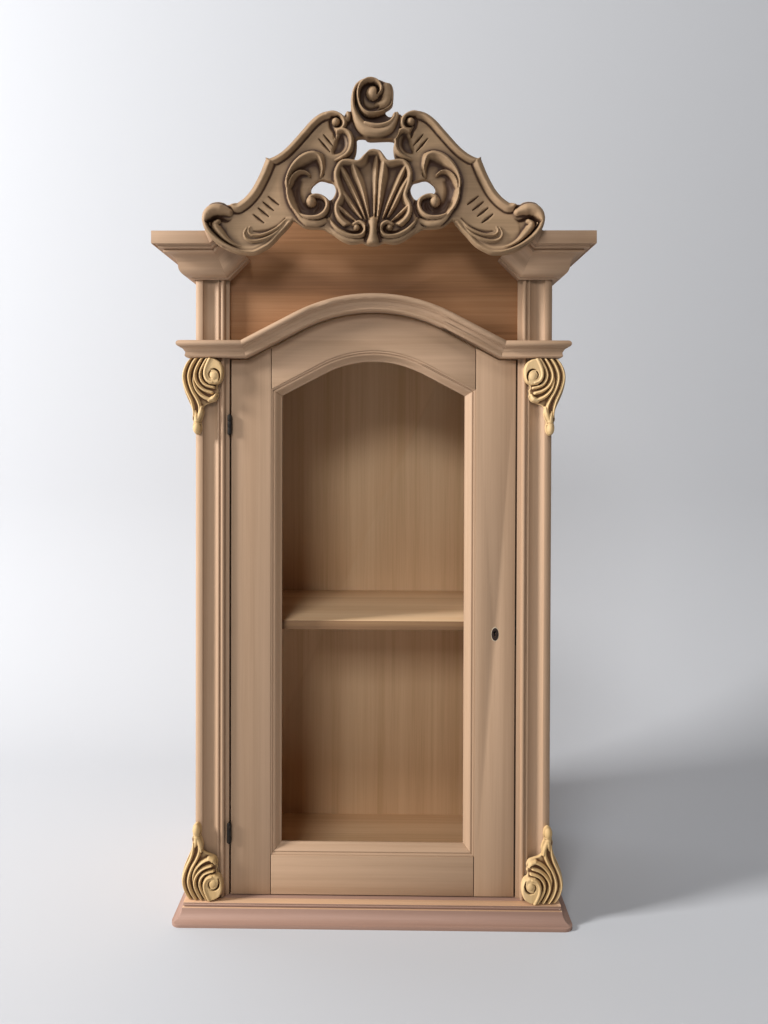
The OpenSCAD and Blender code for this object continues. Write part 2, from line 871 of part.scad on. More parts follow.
// The ribs of the shell, each from the knob to the rim
shell_ribs = [
    [[1, 6], [2.5, 45], [4, 90]],
    [[5, 6], [9, 44], [14, 88]],
    [[12, 8], [25, 44], [40, 76]],
    [[17, 8], [31, 36], [46, 65]],
    [[21, 6], [35, 19], [46, 30]],
    [[-4, 6], [-12, 44], [-26, 82]],
    [[-10, 8], [-23, 42], [-40, 76]],
    [[-14, 8], [-30, 34], [-45, 58]],
    [[-21, 6], [-33, 18], [-46, 29]]
];
scroll_body = [[62, 92.5], [86, 92.5], [102, 77.5], [110, 57], [107.5, 38], [98, 19], [82, 2], [60, 4],
    [50.5, 29], [50, 60], [52, 82]];
shell_dish = 6.4;
ground_foot = draw_ground - 1;
rim_top = 14.4;

module crest_ground_plate() {
    difference() {
        union() {
            linear_extrude(draw_ground)
                polygon(crest_outline());
            // Bodies of the C-scrolls stand proud of the wings
            for (s = [0, 1])
                mirror([s, 0, 0])
                    linear_extrude(draw_ground + 2)
                        polygon(scroll_body);
        }
        // Pierced openings
        translate([0, 0, -1])
            linear_extrude(open_above) {
                polygon(curve(top_hole, 2));
                for (s = [0, 1])
                    mirror([s, 0])
                        polygon(curve(side_hole, 2));
            }
        // Dish of the shell
        sunk(concat(shell_lobes, mirrored([for (i = [1 : len(shell_lobes) - 1]) shell_lobes[i]])), shell_dish);
        for (s = [0, 1])
            mirror([s, 0, 0]) {
                // Hollows of the C-scroll: inside the upper leaf and round the eye
                sunk([[66, 64], [73, 61], [80, 62], [86, 73], [83, 82], [76, 86.5], [66, 85], [61, 74]], 3.5);
                gouge([[62, 37], [61.5, 27], [68, 21], [78, 20], [88, 27], [91, 36]], [3, 4, 4.5, 4], [5]);
                // Hollow of the curl beside the opening and of the volute above it
                gouge([[37, 113], [36, 104], [42, 97], [48, 98]], [3, 5, 5, 3], [4.5]);
                gouge([[43, 139], [40, 131], [45, 126], [53, 128]], [2, 3, 3, 2], [6]);
                // Eye of the end volute
                gouge([[205.5, 4], [206, 14], [199, 22.5], [190.5, 20], [187, 12]], [1.6, 2.4, 3, 3.5, 3.5], [5]);
            }
    }
}

module crest_shell() {
    for (s = [0, 1])
        mirror([s, 0, 0])
            stroke(curve(shell_lobes, 2), [9, 9, 8, 6], [19, 18.5, 18, 16], shell_dish - 1, lip_left);
    for (rib = shell_ribs)
        stroke(rib, [1.6, 5, 7], [15, 14, 15.5], shell_dish - 0.4, cusp);
    // Knob at its foot, wider below
    hull()
        for (p = [[8, 6, 16.5], [-3, 5.5, 20.5], [-16, 8, 18]])
            translate([0, p[0], 1])
                cylinder(r1 = p[1] + 1, r2 = 0.4 * p[1], h = p[2] - 1, $fn = 10);
}

module crest_wing() {
    stroke(curve(wing_high, 2), [11], [rim_top], ground_foot, edge_rim);
    stroke(curve(wing_low, 2), [14], [rim_top + 0.3], ground_foot, edge_rim);
    stroke(curve([for (i = [0 : 7]) wing_under[i]], 2), [11.3], [15], ground_foot - 0.2, edge_reed);
    // Rolled end: outer roll and the thin ridge that closes in its eye
    stroke(curve([[180, -26], [192, -18.5], [201.5, -9.5], [207.5, 2], [209, 13], [205.5, 23], [197, 28.5],
        [188.5, 27], [182, 19.5]], 2), [2, 5, 5.5, 6, 6], [12, 18.5, 21, 20, 12], 1);
    stroke(curve([[166, -22.5], [180, -18], [194, -6], [202.8, 7], [202, 15], [196, 17.5], [192.6, 11.5],
        [195, 3]], 2), [2.2, 2.8, 2.8, 2.4], [10, 15, 17.5, 13], 4, bead);
    // Low leaf on the ground of the wing
    stroke([[109, 13], [119, 3], [130, -4.5], [142, -8], [153, -5.5], [155, 2.5]], [1, 3, 2.6, 1.2],
        [10, 13, 13, 10.5], ground_foot, bead);
    stroke([[112, 5], [122, -6], [135, -13], [149, -16], [160, -12], [161, -2]], [1, 3, 2.8, 1.2],
        [10, 13.5, 13.5, 10.5], ground_foot, bead);
    // Volute at the head of the wing and the curl below it
    stroke(curve([[58, 142], [50, 143], [42, 140.5], [37, 135], [36, 128], [40, 123], [47, 122.5]], 2),
        [4, 4.2, 3.8, 3.4], [15, 17.5, 17, 14], 4, bead);
    stroke(curve([[45, 120], [37, 121.5], [30, 117], [27, 108], [28.5, 98], [33, 91.5], [40, 87.5], [47, 85]], 2),
        [3.4, 4.4, 4.4, 2.5], [16, 18, 17, 12], 1, bead);
    boss([46.5, 132.5], 5.2, 6, 17);
}

module crest_scroll() {
    // Upper leaf, from its curled tip over the top to its point
    stroke(curve([[60, 65], [54.5, 80], [64, 90], [84, 88.5], [99, 75], [108, 58]], 3), [3, 8, 8, 10, 10, 2],
        [12, 18.5, 19, 20, 20, 12], ground_foot, lip_right);
    // Lower leaf, closing in the eye of the scroll
    stroke(curve([[80.5, 63], [93, 70], [103.5, 56], [102, 31], [86, 16.5], [66, 15], [55.5, 28.5], [59, 37]], 3),
        [2.5, 10, 14, 14, 10, 7, 6, 3], [14, 19, 21, 20.5, 19.5, 18.5, 17, 13], ground_foot, lip_left);
    // Roll that falls away below
    stroke(curve([[100, 22], [90, 10], [78, 6.5], [66, 7], [59, 13]], 2), [6, 7, 5], [13, 14, 11], 1);
    stroke([[71, 29], [76, 34], [83, 41]], [5, 5.5, 3], [16, 15.5, 10.5], 4);
    boss([71.5, 30.5], 5.8, 4, 18.5);
    // Small scroll under the shell
    stroke(curve([[24, 5], [17.5, 7.5], [11.5, 4], [9.5, -2], [13, -8], [20, -10], [31, -8.5], [42, -3], [55, 13]], 2),
        [3, 3.6, 4, 3.6, 1.6], [15, 17.5, 17.5, 16.5, 12], 5, bead);
    boss([20, 0.5], 4.2, 6, 15.5);
}

module crest_crown() {
    difference() {
        union() {
            linear_extrude(draw_ground + 2)
                polygon(concat(curve(crown_edge, 2), [[-24, 130], [-11, 113], [2, 110.2], [24, 110.2], [32, 125]]));
            // Front band of the cup and its upper lip
            stroke(curve([[30, 143], [28, 135], [21, 124], [8, 118.5], [-6, 120.5], [-16, 128.5], [-22.5, 141],
                [-25.5, 155], [-24, 170], [-18, 179], [-9, 184]], 2), [3, 9, 9, 5, 3.2, 3], [15, 18.5, 18.5, 18, 16], 1);
            stroke(curve([[26.5, 143], [25.8, 137], [20.5, 130], [10, 126], [0, 126], [-10, 129]], 2),
                [2, 3.4, 4, 3], [16, 20.5, 20], 6);
        }
        gouge([[19, 141], [10, 134.5], [0, 134], [-9, 137], [-17, 146], [-20.5, 158], [-20, 170]],
            [4, 5, 4, 2.4, 1.6, 1.2], [4, 4, 6]);
    }
    // Rolled leaf, turning over into its eye
    stroke(curve([[13, 147], [4, 143.5], [-6, 142.5], [-13, 147.5], [-17, 157], [-17.5, 167], [-13.5, 176],
        [-5, 181], [4, 179.5], [8.5, 174], [8, 167]], 2), [5, 8, 9, 9, 6, 3], [15, 20, 20, draw_t, 17],
        ground_foot, lip_left);
    boss([-0.5, 167], 8, 7, 19);
    boss([17, 171], 7.5, ground_foot, 14.5, [-3, -14]);
}

module crest_flat() {
    crest_ground_plate();
    crest_shell();
    for (s = [0, 1])
        mirror([s, 0, 0]) {
            crest_wing();
            crest_scroll();
        }
    crest_crown();
}

module crest() {
    color(pine)
        placed()
            translate([0, -cornice_out, case_h])
                rotate([90, 0, 0])
                    scale([(half_open + crest_lap) / draw_half, crest_h / draw_h, crest_t / draw_t])
                        crest_flat();
}

// Corner carving, drawn about the eye of its curl with the drop hanging down, then brought to size

leaf_head = 24;
leaf_tip = -77;
leaf_draw_t = 12;
leaf_unit = leaf_l / (leaf_head - leaf_tip);
leaf_draw_ground = leaf_ground * leaf_draw_t / leaf_t;
leaf_eye_x = 19.8 * leaf_unit;
leaf_eye_drop = (leaf_head + 0.5) * leaf_unit;
leaf_edge = [[-14, 8], [-13.5, -1], [-6, -11], [-6.5, -26], [2, -34.5], [13, -41], [14, -55], [14.8, -66],
    [20.5, leaf_tip], [27, -66], [26, -60], [27, -48], [33, -31], [40.5, -8], [39, 11], [29, leaf_head]];
// Ribs from the foot of the mid moulding round the outer side, [path, half-widths, height over the back]
leaf_ribs = [
    [[[28, 23], [37, 8], [37.5, -8], [28.5, -31], [25, -52]], [2.6, 3.2, 2.8, 2], 9.8],
    [[[20.5, 23], [30, 8], [30.5, -7], [20.5, -30], [20, -56]], [2.8, 3.4, 3, 2.4], 11],
    [[[24.5, 2], [21.5, -17], [6, -29.5], [-1, -30]], [1.5, 3, 3, 2.6], 11.5],
    [[[13, 23], [22, 8], [20, -10], [1, -21.5]], [2.8, 3.4, 3.2, 2.8], 11.8],
    [[[6, 23], [15, 8], [13.5, -7], [-1, -14.5]], [2.8, 3.2, 3, 2.6], 12]
];

leaf_curl = [[-14, leaf_head], [-14, 0], [-11, -8], [-4, -11.5], [4, -11], [10, -6], [12.6, 1], [12, 8], [8, 16],
    [1, leaf_head]];

module leaf_flat() {
    rib_foot = leaf_draw_ground - 0.5;
    difference() {
        union() {
            linear_extrude(leaf_draw_ground)
                polygon(concat([[-14, leaf_head]], curve(leaf_edge, 2)));
            difference() {
                linear_extrude(10.5)
                    polygon(leaf_curl);
                // Spiral cut into the eye
                gouge([[-8.5, -6], [-9.6, 0], [-8, 6], [-3.5, 9.3], [1.8, 8.8], [4.2, 3], [1, -3]],
                    [0.6, 1, 0.8, 0.4], [6, 5.5, 8]);
            }
            for (rib = leaf_ribs)
                stroke(curve(rib[0], 2), rib[1], [rib[2]], rib_foot);
            stroke(curve([[2, 23], [8, 13], [9.4, 1], [6, -5.5], [-1, -8]], 2), [3.8, 3.4, 3], [leaf_draw_t],
                rib_foot);
            // Lobe where the inner ribs end, neck, collar and bud
            stroke([[-4.5, -9], [-3.6, -18], [-1.5, -27], [0, -33]], [2.2, 3, 5.5, 3], [8, 9.5, 10.5, 6], 1);
            boss([20.8, -59.5], 4.6, 1, 10);
            boss([20.9, -65], 5.2, 1, 11, [0, -5]);
        }
        // The head is cut square, to butt against the moulding
        translate([-far / 2, leaf_head, -1])
            cube([far, far, 2 * leaf_draw_t]);
    }
}

module corner_carving(side, up) {
    z = up > 0 ? arch_spring_z - leaf_eye_drop : plinth_h + leaf_eye_drop;
    translate([side * (half_open + leaf_eye_x), 0, z])
        rotate([90, 0, 0])
            scale([side * leaf_unit, up * leaf_unit, leaf_t / leaf_draw_t])
                leaf_flat();
}

module upper_left_carving() {
    color(lime_wood)
        placed()
            corner_carving(-1, 1);
}

module upper_right_carving() {
    color(lime_wood)
        placed()
            corner_carving(1, 1);
}

module lower_left_carving() {
    color(lime_wood)
        placed()
            corner_carving(-1, -1);
}

module lower_right_carving() {
    color(lime_wood)
        placed()
            corner_carving(1, -1);
}

module door_stop() {
    stop_top = arch_spring_z - stop_drop;
    color(pine)
        placed()
            translate([half_inner - stop_lap - stop_w, frame_back, floor_z])
                cube([stop_w, stop_t, stop_top - floor_z]);
}
stop_lap = 10;
stop_drop = 60;

// Hinges: axis in front of the door face, in the middle of the side gap

hinge_x = -half_open + door_gap / 2;
hinge_y = door_inset - knuckle_r - 0.3;
hinge_zs = [hinge_low_z, hinge_high_z];
knuckle_gap = 0.3;
hinge_screw_y = door_inset + hinge_leaf_w / 2 + 1;
hinge_screw_dz = hinge_h / 2 - 5;
knuckle_l = (hinge_h - 2 * knuckle_gap) / 3;
screw_fit = 0.05;
seat_fit = 0.05;

// Cut for a leaf in an edge at x, opening towards dir
module hinge_seats(x, dir) {
    for (z = hinge_zs)
        translate([dir > 0 ? x - 1 : x - hinge_leaf_t, door_inset - 1, z - hinge_h / 2 - seat_fit])
            cube([hinge_leaf_t + 1, hinge_leaf_w + 1 + seat_fit, hinge_h + 2 * seat_fit]);
}

module hinge_screw_holes(x, dir) {
    for (z = hinge_zs, d = [-1, 1])
        translate([x, hinge_screw_y, z + d * hinge_screw_dz])
            rotate([0, dir * 90, 0])
                cylinder(r = screw_r + screw_fit, h = screw_l + 0.5, $fn = 24);
}

// One leaf: the plate let into the wood, with its knuckles on the pin line
module hinge_leaf(dir, knuckles) {
    plate_x = dir > 0 ? -half_door : -half_open - hinge_leaf_t;
    for (z = hinge_zs)
        difference() {
            union() {
                translate([plate_x, door_inset, z - hinge_h / 2])
                    cube([hinge_leaf_t, hinge_leaf_w, hinge_h]);
                for (k = knuckles) {
                    foot = z - hinge_h / 2 + k * (knuckle_l + knuckle_gap);
                    translate([plate_x, hinge_y, foot])
                        cube([hinge_leaf_t, door_inset - hinge_y + 1, knuckle_l]);
                    translate([hinge_x, hinge_y, foot])
                        cylinder(r = knuckle_r, h = knuckle_l, $fn = 48);
                }
            }
            translate([hinge_x, hinge_y, z - hinge_h / 2 - 1])
                cylinder(r = hinge_pin_r + hinge_fit, h = hinge_h + 2, $fn = 48);
            for (d = [-1, 1])
                translate([plate_x - 1, hinge_screw_y, z + d * hinge_screw_dz])
                    rotate([0, 90, 0])
                        cylinder(r = screw_r + screw_fit, h = hinge_leaf_t + 2, $fn = 24);
        }
}

module hinge_frame_leaves() {
    color(dark_brass)
        placed()
            hinge_leaf(-1, [0, 2]);
}

module hinge_door_leaves() {
    color(dark_brass)
        placed()
            hinge_leaf(1, [1]);
}

module hinge_pins() {
    tip_h = 1.6;
    color(dark_brass)
        placed()
            for (z = hinge_zs)
                translate([hinge_x, hinge_y, z - hinge_h / 2 - tip_h]) {
                    cylinder(r = hinge_pin_r, h = hinge_h + 2 * tip_h, $fn = 48);
                    cylinder(r1 = 1.4, r2 = 2.2, h = tip_h, $fn = 48);
                    translate([0, 0, hinge_h + tip_h])
                        cylinder(r1 = 2.2, r2 = 1.4, h = tip_h, $fn = 48);
                }
}

// Hinge screws, heads flat on the leaf, shanks in the wood
module hinge_screws(dir) {
    head_x = dir > 0 ? -half_door : -half_open;
    head_h = 0.35;
    for (z = hinge_zs, d = [-1, 1])
        translate([head_x, hinge_screw_y, z + d * hinge_screw_dz])
            rotate([0, dir * 90, 0]) {
                cylinder(r = screw_r, h = screw_l, $fn = 24);
                translate([0, 0, -head_h])
                    cylinder(r = 1.8, h = head_h, $fn = 24);
            }
}

module frame_hinge_screws() {
    color(dark_brass)
        placed()
            hinge_screws(-1);
}

module door_hinge_screws() {
    color(dark_brass)
        placed()
            hinge_screws(1);
}

// Door frame: stiles run full height, rails fit between them

module door_part(x0, x1) {
    intersection() {
        translate([x0, door_inset, door_foot])
            cube([x1 - x0, door_t, far]);
        under_head(door_r, arch_spring_z - door_head_gap);
    }
}

module hinge_stile() {
    color(pine)
        placed()
            difference() {
                door_part(-half_door, -sight_half);
                hinge_seats(-half_door, 1);
                hinge_screw_holes(-half_door, 1);
            }
}

module lock_stile() {
    color(pine)
        placed()
            difference() {
                door_part(sight_half, half_door);
                // Mortise of the lock and of its face plate
                translate([lock_x - wood_fit, lock_y - wood_fit, key_z - lock_h / 2 - wood_fit])
                    cube([lock_w + wood_fit + 1, lock_t + 2 * wood_fit, lock_h + 2 * wood_fit]);
                translate([half_door - face_t, face_y - wood_fit, key_z - face_h / 2 - wood_fit])
                    cube([face_t + 1, face_w + 2 * wood_fit, face_h + 2 * wood_fit]);
                for (d = [-1, 1])
                    translate([half_door - screw_l, face_y + face_w / 2, key_z + d * face_screw_dz])
                        rotate([0, 90, 0])
                            cylinder(r = screw_r + screw_fit, h = screw_l, $fn = 24);
                // Seat of the oval inlay and the way of the key
                translate([key_x, door_inset - 1, key_z])
                    rotate([-90, 0, 0])
                        scale([inlay_w / inlay_h, 1, 1])
                            cylinder(r = inlay_h / 2, h = inlay_t + 1, $fn = 64);
                key_way(door_inset, lock_y - door_inset + 0.5);
            }
}

module top_rail() {
    color(pine)
        placed()
            difference() {
                door_part(-sight_half, sight_half);
                under_arch(rail_r);
            }
}

module bottom_rail() {
    color(pine)
        placed()
            translate([-sight_half, door_inset, door_foot])
                cube([2 * sight_half, door_t, bottom_rail_w]);
}

// Moulding inside the frame: mitred where the lengths meet

function sight_corner(inset) = [sight_half - inset, flank_z(rail_r - inset, sight_half - inset)];
bead_past = 4;

module upright_bead() {
    low = [sight_half, rail_top];
    outer = sight_corner(0);
    inner = sight_corner(bead_w);
    past = inner + (inner - outer) * bead_past / bead_w;
    intersection() {
        translate([sight_half, door_inset, rail_top])
            linear_extrude(outer[1] - rail_top)
                polygon([for (p = bead_profile()) [-p[0], p[1]]]);
        front_mask([low, outer, past, [past[0], rail_top + sight_half - past[0]]]);
    }
}

module left_door_bead() {
    color(pine)
        placed()
            mirror([1, 0, 0])
                upright_bead();
}

module right_door_bead() {
    color(pine)
        placed()
            upright_bead();
}

module bottom_door_bead() {
    top = bead_w + bead_past;
    color(pine)
        placed()
            intersection() {
                translate([-sight_half, door_inset, rail_top])
                    run_x(2 * sight_half)
                        polygon(bead_profile());
                front_mask([[sight_half, rail_top], [sight_half - top, rail_top + top],
                    [top - sight_half, rail_top + top], [-sight_half, rail_top]]);
            }
}

module arch_door_bead() {
    outer = sight_corner(0);
    inner = sight_corner(bead_w);
    past = inner + (inner - outer) * bead_past / bead_w;
    color(pine)
        placed()
            intersection() {
                arch_sweep(sight_half / cos(arch_a))
                    polygon([for (p = bead_profile()) [rail_r - p[0], door_inset + p[1]]]);
                front_mask([outer, [sight_half, arch_apex_z], [-sight_half, arch_apex_z],
                    [-outer[0], outer[1]], [-past[0], past[1]], past]);
            }
}

// Mortise lock: folded case with its face plate, cover, spring and a sliding bolt

wood_fit = 0.1;
face_t = 1.5;
face_w = 13;
face_screw_dz = face_h / 2 - 5;
key_x = half_door - 27;
lock_x = half_door - face_t - lock_w;
lock_y = door_inset + 6;
face_y = lock_y + lock_t / 2 - face_w / 2;
bolt_play = 0.2;
bolt_t = lock_t - 2 * lock_sheet - 2 * bolt_play;
bolt_room = 0.5;
bolt_y = lock_y + lock_sheet + bolt_play;
bolt_tail = 24;
strike_t = 1.2;
strike_w = 12;
strike_h = 34;
strike_y = pilaster_t + 0.5;

// Keyhole through everything from y0 on, ring above and ward slot below
module key_way(y0, depth) {
    ring_r = 2.2;
    slot_w = 2;
    slot_l = 6;
    translate([key_x, y0 - 0.5, key_z]) {
        translate([0, 0, slot_l / 3])
            rotate([-90, 0, 0])
                cylinder(r = ring_r, h = depth + 0.5, $fn = 32);
        translate([-slot_w / 2, 0, slot_l / 3 - slot_l])
            cube([slot_w, depth + 0.5, slot_l]);
    }
}

module keyhole_inlay() {
    color("saddlebrown")
        placed()
            difference() {
                translate([key_x, door_inset, key_z])
                    rotate([-90, 0, 0])
                        scale([(inlay_w - wood_fit) / (inlay_h - wood_fit), 1, 1])
                            cylinder(r = (inlay_h - wood_fit) / 2, h = inlay_t, $fn = 64);
                key_way(door_inset, inlay_t + 1);
            }
}

module lock_case() {
    color(iron)
        placed()
            difference() {
                union() {
                    translate([lock_x, lock_y, key_z - lock_h / 2])
                        cube([lock_w, lock_t - lock_sheet, lock_h]);
                    translate([half_door - face_t, face_y, key_z - face_h / 2])
                        cube([face_t, face_w, face_h]);
                }
                // Chamber of the bolt, open to the cover
                translate([lock_x + lock_sheet, lock_y + lock_sheet, key_z - lock_h / 2 + lock_sheet])
                    cube([lock_w - lock_sheet, lock_t, lock_h - 2 * lock_sheet]);
                translate([half_door - face_t - 1, bolt_y - bolt_play, key_z - bolt_h / 2 - bolt_play])
                    cube([face_t + 2, bolt_t + 2 * bolt_play, bolt_h + 2 * bolt_play]);
                for (d = [-1, 1])
                    translate([half_door - face_t - 1, face_y + face_w / 2, key_z + d * face_screw_dz])
                        rotate([0, 90, 0])
                            cylinder(r = screw_r + screw_fit, h = face_t + 2, $fn = 24);
                key_way(lock_y, lock_sheet + 1);
            }
}

module lock_cover() {
    color(iron)
        placed()
            translate([lock_x, lock_y + lock_t - lock_sheet, key_z - lock_h / 2])
                cube([lock_w, lock_sheet, lock_h]);
}

// Flat spring above the bolt, held at the end of the case and resting near the bolt tail
module lock_spring() {
    leaf = 0.8;
    top = key_z + lock_h / 2 - lock_sheet;
    rest = key_z + bolt_h / 2 + 0.3;
    span = bolt_tail - 4;
    color(iron)
        placed()
            translate([0, bolt_y + 0.5, 0])
                mirror([0, 1, 0])
                    rotate([90, 0, 0])
                        linear_extrude(bolt_t - 1)
                            polygon([[half_door - face_t - span, top], [half_door - face_t - 0.3, top],
                                [half_door - face_t - 0.3, top - leaf],
                                [half_door - face_t - span + 3, rest + leaf],
                                [half_door - face_t - span, rest], [half_door - face_t - span - 2, rest],
                                [half_door - face_t - span - 2, rest + leaf]]);
}

module lock_bolt() {
    notch_w = 6;
    notch_h = 3.5;
    color(dark_brass)
        placed()
            difference() {
                translate([half_door - face_t - bolt_tail, bolt_y, key_z - bolt_h / 2])
                    cube([bolt_tail + face_t - 0.2, bolt_t, bolt_h]);
                translate([key_x + 2, bolt_y - 1, key_z - bolt_h / 2 - 1])
                    cube([notch_w, bolt_t + 2, notch_h + 1]);
            }
}

module lock_face_screws() {
    head_h = 0.35;
    color(iron)
        placed()
            for (d = [-1, 1])
                translate([half_door, face_y + face_w / 2, key_z + d * face_screw_dz])
                    rotate([0, -90, 0]) {
                        cylinder(r = screw_r, h = screw_l - 0.3, $fn = 24);
                        translate([0, 0, -head_h])
                            cylinder(r = 1.8, h = head_h, $fn = 24);
                    }
}

module strike_plate() {
    color(iron)
        placed()
            difference() {
                translate([half_open, strike_y, key_z - strike_h / 2])
                    cube([strike_t, strike_w, strike_h]);
                translate([half_open - 1, bolt_y - bolt_room, key_z - bolt_h / 2 - bolt_room])
                    cube([strike_t + 2, bolt_t + 2 * bolt_room, bolt_h + 2 * bolt_room]);
            }
}

// Every sub-part is drawn from the pilaster face and moved here to its place
module placed() {
    translate([0, centre_y, 0])
        children();
}

left_side();
right_side();
top_board();
bottom_board();
back_panel();
shelf();
shelf_pins();
hanging_rail();
base_rail();
left_frame_stile();
lower_right_frame_stile();
upper_right_frame_stile();
strike_block();
frieze_board();
left_pilaster();
right_pilaster();
plinth_front();
left_plinth_return();
right_plinth_return();
arch_moulding();
left_mid_moulding();
right_mid_moulding();
left_mid_return();
right_mid_return();
left_cornice();
right_cornice();
left_cornice_return();
right_cornice_return();
left_cornice_rake();
right_cornice_rake();
crest();
upper_left_carving();
upper_right_carving();
lower_left_carving();
lower_right_carving();
door_stop();
strike_plate();
hinge_frame_leaves();
hinge_pins();
frame_hinge_screws();
hinge_stile();
lock_stile();
top_rail();
bottom_rail();
left_door_bead();
right_door_bead();
bottom_door_bead();
arch_door_bead();
hinge_door_leaves();
door_hinge_screws();
keyhole_inlay();
lock_case();
lock_cover();
lock_spring();
lock_face_screws();
lock_bolt();
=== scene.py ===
import json
import math
import random

import bpy
import numpy as np
from mathutils import Matrix, Vector


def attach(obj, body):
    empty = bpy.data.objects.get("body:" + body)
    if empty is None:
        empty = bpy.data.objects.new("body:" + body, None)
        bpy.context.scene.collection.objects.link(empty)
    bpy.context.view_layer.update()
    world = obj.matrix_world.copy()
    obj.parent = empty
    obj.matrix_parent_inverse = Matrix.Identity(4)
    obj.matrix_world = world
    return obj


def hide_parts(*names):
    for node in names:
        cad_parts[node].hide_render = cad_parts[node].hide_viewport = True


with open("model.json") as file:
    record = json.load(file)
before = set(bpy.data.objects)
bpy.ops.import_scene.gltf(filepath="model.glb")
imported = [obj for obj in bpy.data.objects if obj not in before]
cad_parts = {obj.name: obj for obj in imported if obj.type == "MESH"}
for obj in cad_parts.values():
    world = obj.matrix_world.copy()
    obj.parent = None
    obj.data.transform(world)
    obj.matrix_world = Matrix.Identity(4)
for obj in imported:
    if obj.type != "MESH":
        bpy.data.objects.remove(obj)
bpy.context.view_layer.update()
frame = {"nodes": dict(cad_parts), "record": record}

MM = 0.001
scene = bpy.context.scene


# Materials

def linear(code):
    """A colour as the eye reads it, turned into the linear values that the shader takes."""
    parts = [int(code[i:i + 2], 16) / 255 for i in (1, 3, 5)]
    return tuple(p / 12.92 if p <= 0.04045 else ((p + 0.055) / 1.055) ** 2.4 for p in parts) + (1.0,)


def add(tree, kind, settings=None, links=None):
    """Puts one node in a tree: socket values or properties by name, then its links."""
    made = tree.nodes.new(kind)
    for name, value in (settings or {}).items():
        if isinstance(name, str) and hasattr(made, name):
            setattr(made, name, value)
        else:
            made.inputs[name].default_value = value
    for name, source in (links or {}).items():
        tree.links.new(source, made.inputs[name])
    return made


def ramp(tree, source, stops):
    """A colour ramp through (place, colour) stops."""
    made = add(tree, "ShaderNodeValToRGB", links={"Fac": source})
    while len(made.color_ramp.elements) < len(stops):
        made.color_ramp.elements.new(0.5)
    for element, (place, colour) in zip(made.color_ramp.elements, stops):
        element.position = place
        element.color = colour
    return made.outputs["Color"]


def grey(v):
    """An even grey."""
    return (v, v, v, 1.0)


def material(name):
    """A new material, with its node tree and its shader."""
    made = bpy.data.materials.new(name)
    made.use_nodes = True
    return made, made.node_tree, made.node_tree.nodes["Principled BSDF"]


def blend(tree, share, under, over, kind="MIX"):
    """Lays one colour over what is there, by a share."""
    mixed = add(tree, "ShaderNodeMix", {"data_type": "RGBA", "blend_type": kind}, {"Factor": share})
    tree.links.new(under, mixed.inputs[6])
    mixed.inputs[7].default_value = linear(over)
    return mixed.outputs[2]


def surface(tree, shader, colour, wear, roughness, height, strength, depth):
    """Joins to the shader a colour, a roughness that shifts between two values with the wear, and a relief."""
    tree.links.new(colour, shader.inputs["Base Color"])
    rub = add(tree, "ShaderNodeMapRange", {"To Min": roughness[0], "To Max": roughness[1]}, {"Value": wear})
    tree.links.new(rub.outputs["Result"], shader.inputs["Roughness"])
    relief = add(tree, "ShaderNodeBump", {"Strength": strength, "Distance": depth}, {"Height": height})
    tree.links.new(relief.outputs["Normal"], shader.inputs["Normal"])


# Cycles to the metre across and along the board: slow shifts of tone, lines of early and late wood, fibres
TONE, GROWTH, FIBRE = (28, 0.7), (190, 2.2), (900, 14.0)
# How growth and fibres share the strength of the lines
GROWTH_SHARE, FIBRE_SHARE = 0.62, 0.38
# How far a line of grain wanders, and the heights of the grain and of scratches in metal, in metres
SWAY, GRAIN_DEPTH, SCRATCH_DEPTH = 0.005, 0.0003, 0.0002
# Where in the noise the dark, middle and light tones of wood lie, and the clean and stained ones of metal
TONE_STOPS, STAIN_STOPS = (0.38, 0.50, 0.62), (0.35, 0.62)
# Where dust and painted shade in the hollows and the pale rim of the inlay begin and are full, and how full the rim
# is
DUST_AND_SHADE_STOPS, RIM_STOPS, RIM_SHARE = (0.08, 0.75), (0.86, 0.93), 0.9
WOOD_SHINE = 0.3


